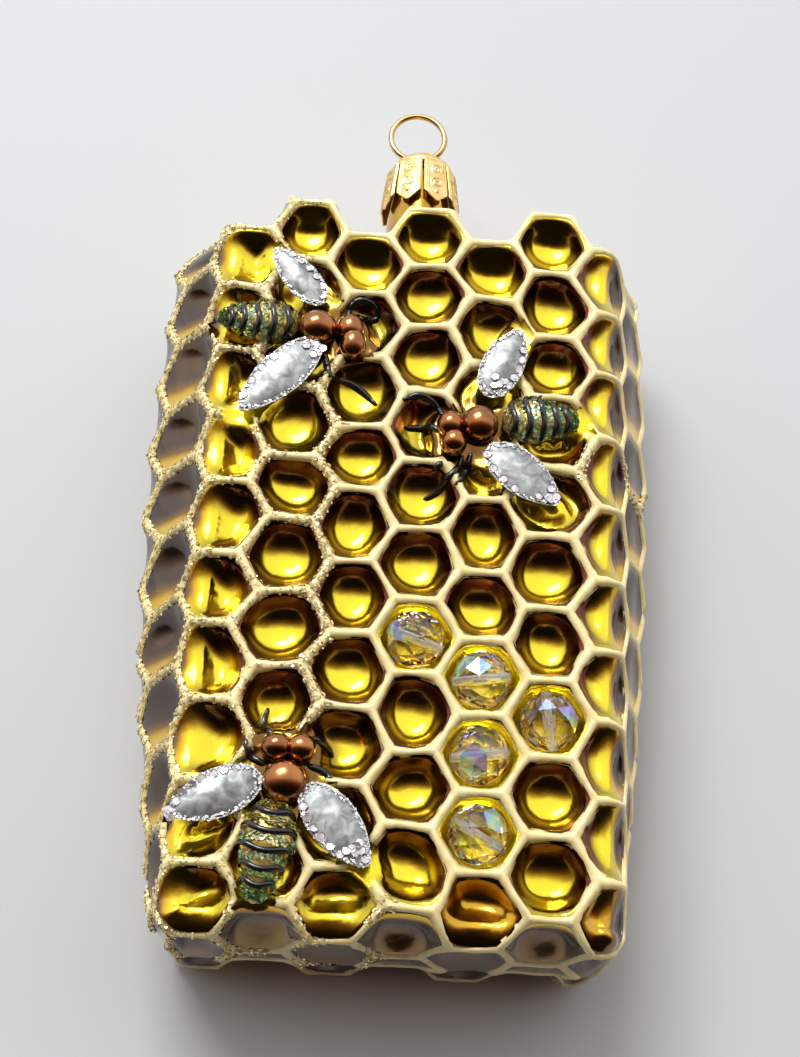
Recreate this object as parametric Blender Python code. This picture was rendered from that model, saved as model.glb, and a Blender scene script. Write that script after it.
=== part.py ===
"""A blown-glass honeycomb ornament: a silvered comb with three bees in relief, five cut-glass beads,
a stamped metal cap and a wire hanging ring. It lies on its back, front up, with the cap towards +Y."""

import math

import bmesh
import bpy
from mathutils import Matrix, Vector

MM = 0.001

# The comb is a lattice of flat-topped hexagons. Its origin is the lattice's centre.
ROW_PITCH = 10.16 * MM
CELL_RADIUS = ROW_PITCH / math.sqrt(3)
COLUMN_PITCH = 1.5 * CELL_RADIUS
COLUMNS_EACH_WAY = 5
ROWS_DOWN = 7
ROWS_UP = 6

# The block that the lattice is folded round.
FRONT_LEFT = -30.5 * MM
FRONT_RIGHT = 27.5 * MM
FRONT_BOTTOM = -52.8 * MM
TOP_PEAK = 5 * ROW_PITCH + 2 * MM
DEPTH = 30 * MM
PARTING_HEIGHT = DEPTH / 2
EDGE_RADIUS = 3.5 * MM
LEFT_FLARE = 9.6 * MM
RIGHT_FLARE = 7.0 * MM
END_FLARE = 2.8 * MM
WIDEST_AT = 18 * MM
FLARE_REACH = 78 * MM
LEFT_STRETCH = 1.5
RIGHT_STRETCH = 1.12
END_STRETCH = 1.32

# Cells.
RIM_HALF_WIDTH = 0.7 * MM
CUP_WALL = 1.9 * MM
CUP_DEPTH = 3.2 * MM
SHALLOWEST_CUP = 0.35
CUP_RECOVERY = 5 * MM
CORNER_FILL = 0.75
PARTING_REACH = 13 * MM
PARTING_CUPS_FROM = 5 * MM
PARTING_CUP_SHARE = 0.15
BEAD_CUP_WALL = 0.6 * MM
BEAD_CUP_DEPTH = 5.4 * MM

# Cut-glass beads: (columns right of the centre, rows above it).
BEAD_CELLS = ((0, -1.5), (1, -2), (2, -2.5), (1, -3), (1, -4))
BEAD_TURNS = (75, 95, 10, 100, 55)
BEAD_RADIUS = 3.9 * MM
BEAD_BORE = 0.55 * MM
BEAD_SINK = 1.2 * MM
BEAD_FACETS = 10
BEAD_ROWS = 5

# Bees, in millimetres on the front face. A wing is (root, tip, half width).
BEES = (
    {"thorax": (-15.5, 29.3, 2.8), "head": (-10.6, 28.4, 1.7, 2.9),
     "abdomen": ((-18.6, 29.6), (-29.8, 30.0), 3.3),
     "wings": (((-14.6, 33.2), (-22.2, 41.0), 2.3), ((-15.6, 26.6), (-25.3, 15.6), 3.0))},
    {"thorax": (7.6, 15.8, 2.7), "head": (3.4, 14.1, 1.7, 3.2),
     "abdomen": ((10.6, 16.6), (21.5, 17.4), 3.4),
     "wings": (((8.6, 20.2), (13.0, 30.6), 2.8), ((9.0, 12.2), (18.3, 4.4), 3.0))},
    {"thorax": (-15.7, -35.6, 2.9), "head": (-15.2, -31.3, 2.9, 2.3),
     "abdomen": ((-16.4, -36.8), (-18.8, -50.8), 3.5),
     "wings": (((-19.0, -35.6), (-29.4, -40.2), 2.9), ((-12.8, -36.4), (-5.0, -45.2), 3.0))},
)
BODY_RISE = 0.9 * MM
ABDOMEN_HALF_HEIGHT = 2.4 * MM
WING_RISE = 0.3 * MM
WING_HALF_THICKNESS = 0.9 * MM

# Neck, cap and ring share the axis that leaves the comb's top at mid depth: (height up +Y, radius).
NECK_X = -1.2 * MM
NECK_PROFILE = ((40.0, 6.6), (47.0, 5.9), (52.0, 5.5), (58.0, 5.1), (62.0, 4.5), (66.0, 4.2))
CAP_PROFILE = ((58.5, 6.1), (62.8, 5.6), (66.3, 5.1), (67.9, 4.2), (69.1, 2.8), (69.9, 1.4), (70.2, 0.0))
CAP_WALL = 0.35 * MM
CAP_DOME_RADIUS = 5 * MM
PETALS = 8
PETAL_SLIT = 0.35 * MM
SLIT_TOP = 65.6 * MM
SLIT_BOTTOM = 57 * MM
PETAL_NOTCH = 2.9 * MM
CUTTER_FROM = 2 * MM
CUTTER_REACH = 8 * MM
RING_CENTRE = Vector((-2.0 * MM, 73.6 * MM, PARTING_HEIGHT))
RING_RADIUS = 4.25 * MM
WIRE_RADIUS = 0.45 * MM
RING_STEPS = 28
WIRE_FACETS = 8
CLEARANCE = 0.3 * MM
TURNED_STEPS = 24
RELIEF_SEGMENTS = 12
FINE_RELIEF_SEGMENTS = 10


def clear_scene():
    for old in list(bpy.data.objects):
        bpy.data.objects.remove(old)


def new_collection(name):
    collection = bpy.data.collections.new(name)
    bpy.context.scene.collection.children.link(collection)
    return collection


def material(name, colour, roughness, metallic, transmission=0.0):
    made = bpy.data.materials.new(name)
    made.use_nodes = True
    shader = made.node_tree.nodes["Principled BSDF"]
    shader.inputs["Base Color"].default_value = (*colour, 1)
    shader.inputs["Roughness"].default_value = roughness
    shader.inputs["Metallic"].default_value = metallic
    shader.inputs["Transmission Weight"].default_value = transmission
    return made


def object_from(bm, name, collection, finish=None):
    mesh = bpy.data.meshes.new(name)
    bm.to_mesh(mesh)
    bm.free()
    made = bpy.data.objects.new(name, mesh)
    collection.objects.link(made)
    if finish:
        mesh.materials.append(finish)
    return made


def boolean(target, collection, operation):
    modifier = target.modifiers.new(operation.title(), "BOOLEAN")
    modifier.operation = operation
    modifier.operand_type = "COLLECTION"
    modifier.collection = collection
    modifier.solver = "EXACT"
    for cutter in collection.objects:
        cutter.hide_render = True
        cutter.display_type = "WIRE"


def clamp(value, low, high):
    return min(max(value, low), high)


def top_edge(u):
    """Y of the comb's scalloped top edge: full height over every other column, half a cell lower between."""
    offset = abs((u / COLUMN_PITCH + 1) % 2 - 1) * COLUMN_PITCH
    drop = clamp(offset - CELL_RADIUS / 2, 0, CELL_RADIUS / 2) * math.sqrt(3)
    return TOP_PEAK - drop


def flat_area_point(u, v):
    """The nearest point to (u, v) on the part of the front that stays flat."""
    x = clamp(u, FRONT_LEFT + EDGE_RADIUS, FRONT_RIGHT - EDGE_RADIUS)
    y = clamp(v, FRONT_BOTTOM + EDGE_RADIUS, top_edge(x) - EDGE_RADIUS)
    return Vector((x, y))


def wall_angle(outward, v):
    """How far the sheet turns down over an edge. The long sides lean out most just above the middle."""
    side_flare = LEFT_FLARE if outward.x < 0 else RIGHT_FLARE
    side_flare *= 1 - ((v - WIDEST_AT) / FLARE_REACH) ** 2
    flare = outward.x ** 2 * side_flare + outward.y ** 2 * END_FLARE
    return math.atan2(PARTING_HEIGHT, flare)


def wall_stretch(outward):
    """Cells on the walls are longer than those in front, so that their last row ends at the parting plane."""
    side_stretch = LEFT_STRETCH if outward.x < 0 else RIGHT_STRETCH
    return outward.x ** 2 * side_stretch + outward.y ** 2 * END_STRETCH


def cup_share(u, v):
    """Share of the full cup depth: cups get shallow over an edge or a corner, and by the parting plane."""
    flat = flat_area_point(u, v)
    outward = Vector((u, v)) - flat
    turn_middle = EDGE_RADIUS * math.pi / 4
    if outward.length == 0:
        inside = min(u - FRONT_LEFT, FRONT_RIGHT - u, v - FRONT_BOTTOM, top_edge(u) - v) - EDGE_RADIUS
        return clamp((inside + turn_middle) / CUP_RECOVERY, SHALLOWEST_CUP, 1)
    over_edge = clamp(abs(outward.length - turn_middle) / CUP_RECOVERY, SHALLOWEST_CUP, 1)
    from_parting = (PARTING_REACH - outward.length) / (PARTING_REACH - PARTING_CUPS_FROM)
    by_parting = clamp(from_parting, PARTING_CUP_SHARE, 1)
    outward.normalize()
    return over_edge * by_parting * (1 - CORNER_FILL * 2 * abs(outward.x * outward.y))


def fold(u, v, lift):
    """Lays a point of the flat lattice sheet on the block: flat in front, turned down past its edges."""
    flat = flat_area_point(u, v)
    outward = Vector((u, v)) - flat
    distance = outward.length
    if distance == 0:
        return Vector((u, v, DEPTH + lift))
    outward.normalize()
    steep = wall_angle(outward, v)
    turn = min(distance / EDGE_RADIUS, steep)
    straight = (distance - EDGE_RADIUS * turn) * wall_stretch(outward)
    run = EDGE_RADIUS * math.sin(turn) + straight * math.cos(steep)
    drop = EDGE_RADIUS * (1 - math.cos(turn)) + straight * math.sin(steep)
    run += lift * math.sin(turn)
    height = DEPTH - drop + lift * math.cos(turn)
    place = flat + outward * run
    return Vector((place.x, place.y, height))


def cell_centres():
    for column in range(-COLUMNS_EACH_WAY, COLUMNS_EACH_WAY + 1):
        half_row = 0.5 if column % 2 == 0 else 0
        for row in range(-ROWS_DOWN, ROWS_UP + 1):
            yield column, row + half_row


def comb_half(with_bead_cups):
    """Half of the block, above the parting plane: hexagons joined into a sheet, inset, pushed in, folded."""
    bm = bmesh.new()
    for column, row in cell_centres():
        place = Matrix.Translation((column * COLUMN_PITCH, row * ROW_PITCH, 0))
        bmesh.ops.create_circle(bm, cap_ends=True, segments=6, radius=CELL_RADIUS,
                                matrix=place @ Matrix.Rotation(math.radians(30), 4, "Z"))
    bmesh.ops.remove_doubles(bm, verts=bm.verts, dist=0.01 * MM)
    cells = list(bm.faces)
    bmesh.ops.inset_individual(bm, faces=cells, thickness=RIM_HALF_WIDTH, use_even_offset=True)
    bead_places = [Vector((c * COLUMN_PITCH, r * ROW_PITCH, 0)) for c, r in BEAD_CELLS]
    deep = []
    plain = []
    for face in cells:
        centre = face.calc_center_median()
        holds_bead = any((centre - place).length < MM for place in bead_places)
        (deep if holds_bead and with_bead_cups else plain).append(face)
    bmesh.ops.inset_individual(bm, faces=plain, thickness=CUP_WALL, depth=-CUP_DEPTH, use_even_offset=True)
    if deep:
        bmesh.ops.inset_individual(bm, faces=deep, thickness=BEAD_CUP_WALL, depth=-BEAD_CUP_DEPTH,
                                   use_even_offset=True)
    bmesh.ops.triangulate(bm, faces=bm.faces)
    for vert in bm.verts:
        u, v, lift = vert.co
        vert.co = fold(u, v, lift * cup_share(u, v))
    everything = list(bm.verts) + list(bm.edges) + list(bm.faces)
    bmesh.ops.bisect_plane(bm, geom=everything, plane_co=(0, 0, PARTING_HEIGHT), plane_no=(0, 0, -1),
                           dist=0.001 * MM, clear_outer=True)
    return bm


def glass_comb(collection, finish):
    """Front half and plain back half, joined at the parting plane."""
    front = comb_half(True)
    back = comb_half(False)
    for vert in back.verts:
        vert.co.z = DEPTH - vert.co.z
    bmesh.ops.reverse_faces(back, faces=back.faces)
    back_mesh = bpy.data.meshes.new("back")
    back.to_mesh(back_mesh)
    back.free()
    front.from_mesh(back_mesh)
    bpy.data.meshes.remove(back_mesh)
    bmesh.ops.remove_doubles(front, verts=front.verts, dist=0.02 * MM)
    bmesh.ops.recalc_face_normals(front, faces=front.faces)
    return object_from(front, "glass_body", collection, finish)


def ellipsoid(name, centre, radii, angle, collection, segments=RELIEF_SEGMENTS):
    bm = bmesh.new()
    place = Matrix.Translation(centre) @ Matrix.Rotation(angle, 4, "Z") @ Matrix.Diagonal((*radii, 1))
    bmesh.ops.create_uvsphere(bm, u_segments=segments, v_segments=segments // 2 + 1, radius=1, matrix=place)
    return object_from(bm, name, collection)


def along(root, tip, half_width, half_height, rise, name, collection, segments=RELIEF_SEGMENTS):
    """An ellipsoid that reaches from root to tip, both in millimetres on the front face."""
    start = Vector(root) * MM
    end = Vector(tip) * MM
    middle = (start + end) / 2
    reach = end - start
    centre = Vector((middle.x, middle.y, DEPTH + rise))
    radii = (reach.length / 2, half_width * MM, half_height)
    return ellipsoid(name, centre, radii, math.atan2(reach.y, reach.x), collection, segments)


def bee(number, shape, collection):
    x, y, radius = shape["thorax"]
    centre = Vector((x * MM, y * MM, DEPTH + BODY_RISE))
    ellipsoid(f"thorax_{number}", centre, (radius * MM,) * 3, 0, collection)
    x, y, half_x, half_y = shape["head"]
    centre = Vector((x * MM, y * MM, DEPTH + BODY_RISE))
    lower = min(half_x, half_y) * MM
    ellipsoid(f"head_{number}", centre, (half_x * MM, half_y * MM, lower), 0, collection,
              FINE_RELIEF_SEGMENTS)
    root, tip, half_width = shape["abdomen"]
    along(root, tip, half_width, ABDOMEN_HALF_HEIGHT, BODY_RISE, f"abdomen_{number}", collection)
    for wing, (root, tip, half_width) in enumerate(shape["wings"]):
        along(root, tip, half_width, WING_HALF_THICKNESS, WING_RISE, f"wing_{number}_{wing}", collection,
              FINE_RELIEF_SEGMENTS)


def turned(profile, name, collection, finish=None, wall=0.0):
    """Turns a (height, radius) profile about the neck's axis. With a wall it is a cup, open below."""
    points = [Vector((radius * MM, height * MM, 0)) for height, radius in profile]
    if wall:
        drops = [wall if p.x < CAP_DOME_RADIUS else 0 for p in points]
        inner = [Vector((max(p.x - wall, 0), p.y - drop, 0)) for p, drop in zip(points, drops)]
        points = list(reversed(inner)) + points
    else:
        points = [Vector((0, points[0].y, 0))] + points + [Vector((0, points[-1].y, 0))]
    bm = bmesh.new()
    verts = [bm.verts.new(p) for p in points]
    edges = [bm.edges.new(pair) for pair in zip(verts, verts[1:])]
    bmesh.ops.spin(bm, geom=verts + edges, cent=(0, 0, 0), axis=(0, 1, 0), angle=math.tau,
                   steps=TURNED_STEPS, use_merge=True)
    bmesh.ops.remove_doubles(bm, verts=bm.verts, dist=0.01 * MM)
    bmesh.ops.recalc_face_normals(bm, faces=bm.faces)
    bmesh.ops.translate(bm, verts=bm.verts, vec=(NECK_X, 0, PARTING_HEIGHT))
    return object_from(bm, name, collection, finish)


def petal_cutters(collection):
    """Between each two petals: a slit, and a turned square that leaves the petals' tips pointed."""
    out = CUTTER_FROM + CUTTER_REACH / 2
    for petal in range(PETALS):
        turn = Matrix.Rotation(math.tau * petal / PETALS, 4, "Y")
        axis = Matrix.Translation((NECK_X, 0, PARTING_HEIGHT)) @ turn
        slit = bmesh.new()
        size = Matrix.Diagonal((PETAL_SLIT, SLIT_TOP - SLIT_BOTTOM, CUTTER_REACH, 1))
        middle = Matrix.Translation((0, (SLIT_TOP + SLIT_BOTTOM) / 2, out))
        bmesh.ops.create_cube(slit, size=1, matrix=axis @ middle @ size)
        object_from(slit, f"slit_{petal}", collection)
        notch = bmesh.new()
        size = Matrix.Diagonal((PETAL_NOTCH, PETAL_NOTCH, CUTTER_REACH, 1))
        middle = Matrix.Translation((0, CAP_PROFILE[0][0] * MM, out))
        on_corner = Matrix.Rotation(math.radians(45), 4, "Z")
        bmesh.ops.create_cube(notch, size=1, matrix=axis @ middle @ on_corner @ size)
        object_from(notch, f"notch_{petal}", collection)


def wire_loop(name, wire_radius, collection, finish=None):
    bpy.ops.mesh.primitive_torus_add(major_segments=RING_STEPS, minor_segments=WIRE_FACETS,
                                     major_radius=RING_RADIUS, minor_radius=wire_radius, location=RING_CENTRE)
    loop = bpy.context.active_object
    loop.name = name
    for owner in list(loop.users_collection):
        owner.objects.unlink(loop)
    collection.objects.link(loop)
    if finish:
        loop.data.materials.append(finish)
    return loop


def bead(number, cell, turn, collection, finish):
    """A faceted round bead with its bore lying level, set a little into its cup."""
    bm = bmesh.new()
    half_length = math.sqrt(BEAD_RADIUS ** 2 - BEAD_BORE ** 2)
    points = [Vector((BEAD_BORE, 0, -half_length)), Vector((BEAD_BORE, 0, half_length))]
    for edge in range(1, BEAD_ROWS):
        angle = math.acos(half_length / BEAD_RADIUS) + math.pi * edge / BEAD_ROWS
        points.append(Vector((BEAD_RADIUS * math.sin(angle), 0, BEAD_RADIUS * math.cos(angle))))
    verts = [bm.verts.new(p) for p in points]
    edges = [bm.edges.new((verts[i], verts[(i + 1) % len(verts)])) for i in range(len(verts))]
    bmesh.ops.spin(bm, geom=verts + edges, cent=(0, 0, 0), axis=(0, 0, 1), angle=math.tau,
                   steps=BEAD_FACETS, use_merge=True)
    bmesh.ops.remove_doubles(bm, verts=bm.verts, dist=0.01 * MM)
    bmesh.ops.recalc_face_normals(bm, faces=bm.faces)
    column, row = cell
    place = Matrix.Translation((column * COLUMN_PITCH, row * ROW_PITCH, DEPTH - BEAD_SINK))
    level = Matrix.Rotation(math.radians(turn), 4, "Z") @ Matrix.Rotation(math.radians(90), 4, "X")
    bmesh.ops.transform(bm, matrix=place @ level, verts=bm.verts)
    return object_from(bm, f"crystal_{number}", collection, finish)


def centre_over_origin(parts, helpers):
    """Moves everything so that the middle of the whole object's base is at the origin."""
    bpy.context.view_layer.update()
    graph = bpy.context.evaluated_depsgraph_get()
    corners = []
    for part in parts:
        evaluated = part.evaluated_get(graph)
        corners += [evaluated.matrix_world @ Vector(corner) for corner in evaluated.bound_box]
    low = Vector([min(corner[axis] for corner in corners) for axis in range(3)])
    high = Vector([max(corner[axis] for corner in corners) for axis in range(3)])
    shift = Vector((-(low.x + high.x) / 2, -(low.y + high.y) / 2, -low.z))
    for piece in parts + helpers:
        piece.location += shift
    print("centred by", [round(value / MM, 3) for value in shift], "mm")


def main():
    clear_scene()
    ornament = new_collection("honeycomb_ornament")
    relief = new_collection("relief")
    cap_cutters = new_collection("cap_cutters")
    amber = material("amber_glass", (0.62, 0.36, 0.03), 0.15, 0.9)
    clear = material("clear_crystal", (0.92, 0.88, 0.8), 0.02, 0.0, 1.0)
    gold = material("stamped_gold", (0.83, 0.55, 0.16), 0.3, 1.0)
    wire = material("ring_wire", (0.6, 0.4, 0.13), 0.25, 1.0)

    parts = [glass_comb(ornament, amber)]
    turned(NECK_PROFILE, "neck", relief)
    for number, shape in enumerate(BEES, 1):
        bee(number, shape, relief)
    boolean(parts[0], relief, "UNION")
    for number, (cell, turn) in enumerate(zip(BEAD_CELLS, BEAD_TURNS), 1):
        parts.append(bead(number, cell, turn, ornament, clear))
    cap = turned(CAP_PROFILE, "cap", ornament, gold, CAP_WALL)
    petal_cutters(cap_cutters)
    wire_loop("ring_passage", WIRE_RADIUS + CLEARANCE, cap_cutters)
    boolean(cap, cap_cutters, "DIFFERENCE")
    parts.append(cap)
    parts.append(wire_loop("ring", WIRE_RADIUS, ornament, wire))
    centre_over_origin(parts, list(relief.objects) + list(cap_cutters.objects))


main()
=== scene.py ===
# %% [markdown]
# # A blown-glass honeycomb ornament
#
# The object is a Christmas-tree ornament of thin glass, blown into a mould that is cut like a slab of
# honeycomb. It is silvered inside and lacquered amber outside, its cell rims are drawn with cream
# enamel, three bees sit on it in relief, and some cells hold a cut-glass bead. A stamped cap with a
# wire ring closes the neck. It lies on its back, front up, with the cap towards +Y.

# %% Frame
import math
import random

import bmesh
import bpy
from mathutils import Matrix, Vector, noise
from mathutils.bvhtree import BVHTree


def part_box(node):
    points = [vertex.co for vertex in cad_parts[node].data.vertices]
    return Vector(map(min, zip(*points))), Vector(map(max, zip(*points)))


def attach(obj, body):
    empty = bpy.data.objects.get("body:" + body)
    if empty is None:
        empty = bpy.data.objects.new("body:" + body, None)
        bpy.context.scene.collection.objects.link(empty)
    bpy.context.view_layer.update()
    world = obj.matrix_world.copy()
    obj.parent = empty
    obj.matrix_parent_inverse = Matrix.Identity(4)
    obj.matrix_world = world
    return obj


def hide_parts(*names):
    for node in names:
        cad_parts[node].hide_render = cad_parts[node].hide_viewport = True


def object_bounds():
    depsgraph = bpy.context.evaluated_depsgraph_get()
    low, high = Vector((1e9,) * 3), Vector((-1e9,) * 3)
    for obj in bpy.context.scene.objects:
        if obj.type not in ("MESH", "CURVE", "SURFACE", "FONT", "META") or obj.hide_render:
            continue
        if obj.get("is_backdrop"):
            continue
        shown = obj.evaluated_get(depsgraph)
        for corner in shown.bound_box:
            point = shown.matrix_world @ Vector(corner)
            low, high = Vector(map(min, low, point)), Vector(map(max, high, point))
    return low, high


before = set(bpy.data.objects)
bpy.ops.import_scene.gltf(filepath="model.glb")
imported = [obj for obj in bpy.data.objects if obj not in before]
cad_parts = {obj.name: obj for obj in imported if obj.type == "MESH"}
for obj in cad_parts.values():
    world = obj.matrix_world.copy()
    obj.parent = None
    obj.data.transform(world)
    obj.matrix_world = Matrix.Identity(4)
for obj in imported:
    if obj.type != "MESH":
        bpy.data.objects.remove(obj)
cad_box = [list(corner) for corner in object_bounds()]
MM = 0.001
scene = bpy.context.scene
print("the solids' box, in mm:", [[round(value / MM, 1) for value in corner] for corner in cad_box])

# %% [markdown]
# ## The lattice and the block
#
# Everything on the comb is placed on a flat sheet of hexagons first, in sideways and upward distances
# from the lattice's centre, and the sheet is then folded round the block. The ring's solid tells where
# the lattice's centre is, and its height above the table is half the block's depth.

# %% Lattice
RING_FROM_LATTICE = Vector((-2.0 * MM, 73.6 * MM, 0))
ring_low, ring_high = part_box("ring")
ring_middle = (ring_low + ring_high) / 2
LATTICE = Vector((ring_middle.x, ring_middle.y, 0)) - RING_FROM_LATTICE
DEPTH = 2 * ring_middle.z
PARTING_HEIGHT = ring_middle.z

ROW_PITCH = 10.16 * MM
CELL_RADIUS = ROW_PITCH / math.sqrt(3)
COLUMN_PITCH = 1.5 * CELL_RADIUS
HALF_CELL = ROW_PITCH / 2
TOP_PEAK = 5 * ROW_PITCH + 2 * MM
FRONT_LEFT = -30.5 * MM
FRONT_RIGHT = 27.5 * MM
FRONT_BOTTOM = -52.8 * MM
BOTTOM_SCALLOP = 1.8 * MM
EDGE_RADIUS = 3.5 * MM
LEFT_FLARE = 9.6 * MM
RIGHT_FLARE = 7.0 * MM
END_FLARE = 2.8 * MM
WIDEST_AT = 18 * MM
FLARE_REACH = 78 * MM
LEFT_STRETCH = 1.5
RIGHT_STRETCH = 1.12
END_STRETCH = 1.32
# The front's full lacquer gives way to the walls' darker brown, partly a thinner coat and partly painted
# shade.
FRONT_LACQUER_AND_SHADE_TO = 0.3 * EDGE_RADIUS
WALL_LACQUER_AND_SHADE_FROM = 1.3 * EDGE_RADIUS
print("lattice centre at", [round(value / MM, 2) for value in LATTICE], "depth", round(DEPTH / MM, 2))

# %% Folding


def clamp(value, low=0.0, high=1.0):
    return min(max(value, low), high)


def smooth_step(value, low, high):
    """0 below low, 1 above high, with a soft start and end. It also runs downwards when low > high."""
    share = clamp((value - low) / (high - low))
    return share * share * (3 - 2 * share)


def top_edge(u):
    """The comb's scalloped top edge: full height over every other column, half a cell lower between."""
    offset = abs((u / COLUMN_PITCH + 1) % 2 - 1) * COLUMN_PITCH
    drop = clamp(offset - CELL_RADIUS / 2, 0, CELL_RADIUS / 2) * math.sqrt(3)
    return TOP_PEAK - drop


def bottom_edge(u):
    """The front's lower edge: a little lower over every other column, whose last cups face forwards."""
    offset = abs((u / COLUMN_PITCH) % 2 - 1) * COLUMN_PITCH
    rise = clamp(offset - CELL_RADIUS / 2, 0, CELL_RADIUS / 2) / (CELL_RADIUS / 2)
    return FRONT_BOTTOM - BOTTOM_SCALLOP * (1 - rise)


def flat_area_point(u, v):
    """The nearest point to (u, v) on the part of the front that stays flat."""
    x = clamp(u, FRONT_LEFT + EDGE_RADIUS, FRONT_RIGHT - EDGE_RADIUS)
    y = clamp(v, bottom_edge(x) + EDGE_RADIUS, top_edge(x) - EDGE_RADIUS)
    return Vector((x, y))


def wall_angle(outward, u, v):
    """How far the sheet turns down over an edge. The long sides lean out most just above the middle."""
    end_flare = END_FLARE + (bottom_edge(u) - FRONT_BOTTOM if outward.y < 0 else 0)
    side_flare = LEFT_FLARE if outward.x < 0 else RIGHT_FLARE
    side_flare *= 1 - ((v - WIDEST_AT) / FLARE_REACH) ** 2
    flare = outward.x ** 2 * side_flare + outward.y ** 2 * end_flare
    return math.atan2(PARTING_HEIGHT, flare)


def wall_stretch(outward):
    """Cells are longer on the walls than in front, so that their last row ends at the parting plane."""
    side_stretch = LEFT_STRETCH if outward.x < 0 else RIGHT_STRETCH
    return outward.x ** 2 * side_stretch + outward.y ** 2 * END_STRETCH


def fold(u, v, lift):
    """Lays a point of the flat sheet on the block. lift is how far it stands above the rims."""
    flat = flat_area_point(u, v)
    outward = Vector((u, v)) - flat
    distance = outward.length
    if distance == 0:
        return LATTICE + Vector((u, v, DEPTH + lift))
    outward.normalize()
    steep = wall_angle(outward, flat.x, v)
    turn = min(distance / EDGE_RADIUS, steep)
    straight = (distance - EDGE_RADIUS * turn) * wall_stretch(outward)
    run = EDGE_RADIUS * math.sin(turn) + straight * math.cos(steep) + lift * math.sin(turn)
    drop = EDGE_RADIUS * (1 - math.cos(turn)) + straight * math.sin(steep)
    place = flat + outward * run
    return LATTICE + Vector((place.x, place.y, DEPTH - drop + lift * math.cos(turn)))


def facing_front(u, v):
    """1 where the sheet faces the front, falling to 0 on the walls, whose darker brown is partly another
    lacquer and partly painted shade.
    """
    flat = flat_area_point(u, v)
    return 1 - smooth_step((Vector((u, v)) - flat).length, FRONT_LACQUER_AND_SHADE_TO, WALL_LACQUER_AND_SHADE_FROM)


print("front's lower left corner folds to", [round(c / MM, 1) for c in fold(FRONT_LEFT, FRONT_BOTTOM, 0)])

# %% [markdown]
# ## The bees' places
#
# The bees are part of the mould, so the comb near them is filled in and smoothed. Their places are
# settled before the comb is made. All numbers here are millimetres from the lattice's centre. A wing
# is its root, its tip and its half width; paint lines are the points that a brush went through.
# Sequins lie in a row along one edge of a wing and in a cluster near one end.

# %% Bees' places
BEES = (
    {"thorax": (-15.5, 29.3, 2.75, 2.5), "lobes": ((-10.9, 29.4, 1.95, 2.2), (-10.4, 27.0, 1.9, 2.4)),
     "abdomen": ((-18.0, 29.6), (-29.6, 30.0), 3.1),
     "wings": (((-14.9, 33.0), (-22.2, 41.2), 2.35), ((-15.4, 26.9), (-25.3, 15.4), 3.0)),
     "sequins": ((-1, -0.6, 0.6, 5, -0.8, 1), (-1, -0.2, 0.75, 4, -0.78, 7)),
     "strokes": (((-14.6, 26.6), (-13.8, 24.0), (-13.4, 21.8)),
                 ((-13.0, 22.2), (-10.4, 22.6), (-8.4, 21.4), (-6.8, 19.6)),
                 ((-11.4, 31.6), (-11.2, 34.0), (-9.6, 35.0), (-7.6, 34.6), (-7.0, 33.0)),
                 ((-9.8, 31.6), (-8.6, 32.6), (-7.0, 33.0)))},
    {"thorax": (7.6, 15.8, 2.6, 2.7), "lobes": ((3.6, 15.4, 1.95, 2.0), (4.1, 12.8, 1.85, 1.9)),
     "abdomen": ((10.6, 16.7), (21.4, 17.2), 3.4),
     "wings": (((8.5, 20.0), (12.9, 30.6), 2.8), ((8.9, 12.3), (18.3, 4.3), 3.0)),
     "sequins": ((-1, -0.8, 0.5, 6, -0.6, 5), (-1, -0.9, 0.1, 4, 0.75, 6)),
     "strokes": (((2.6, 17.4), (1.6, 19.4), (-1.0, 20.2), (-3.2, 19.0)),
                 ((2.6, 14.6), (0.2, 16.6), (-2.4, 16.0)),
                 ((5.4, 11.4), (4.6, 8.8), (2.4, 6.6), (0.6, 5.6)),
                 ((6.6, 12.0), (5.9, 9.0), (4.6, 6.6)),
                 ((3.4, 10.8), (1.6, 8.9)))},
    {"thorax": (-15.7, -35.6, 2.9, 2.8), "lobes": ((-17.0, -31.3, 2.0, 1.9), (-13.9, -31.3, 2.0, 1.9)),
     "abdomen": ((-16.6, -38.0), (-18.6, -51.0), 3.4),
     "wings": (((-18.8, -35.2), (-29.6, -40.6), 3.0), ((-13.0, -36.2), (-4.9, -45.8), 3.0)),
     "sequins": ((-1, -0.6, 0.6, 6, 0.85, 4), (-1, -0.7, 0.5, 6, 0.7, 9)),
     "strokes": (((-17.6, -29.6), (-19.2, -27.4), (-18.6, -25.2)),
                 ((-13.0, -29.8), (-11.0, -29.6), (-9.9, -31.2)),
                 ((-18.4, -33.4), (-20.6, -32.2), (-21.0, -30.4)),
                 ((-12.9, -33.2), (-10.6, -33.8), (-9.8, -35.4)))},
)
THICKER_AT_ROOT = 0.75
THINNER_AT_TIP = 0.4


def distance_to_stroke(point, start, end):
    """Distance from a point to the straight stretch between two others, and how far along it that is."""
    along = end - start
    share = clamp((point - start).dot(along) / along.length_squared)
    return (point - (start + along * share)).length, share


def body_shapes():
    """Every thorax and head as (start, end, radius at the start, radius at the end), in metres."""
    for shape in BEES:
        for x, y, half_x, half_y in (shape["thorax"], *shape["lobes"]):
            middle = Vector((x, y)) * MM
            yield middle, middle + Vector((0, MM / 10)), half_x * MM, half_y * MM


def long_shapes():
    """Every abdomen and wing, in the same form."""
    for shape in BEES:
        for start, end, half_width in (shape["abdomen"], *shape["wings"]):
            reach = half_width * MM
            yield Vector(start) * MM, Vector(end) * MM, reach * THICKER_AT_ROOT, reach * THINNER_AT_TIP


BODIES = list(body_shapes())
SHAPES = BODIES + list(long_shapes())


def bee_distance(u, v, shapes):
    """How far a point of the sheet lies outside the nearest of some bee parts; negative inside one."""
    point = Vector((u, v))
    nearest = 1.0
    for start, end, first, last in shapes:
        away, share = distance_to_stroke(point, start, end)
        nearest = min(nearest, away - (first + (last - first) * share))
    return nearest


print("bee parts:", len(SHAPES))

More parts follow.
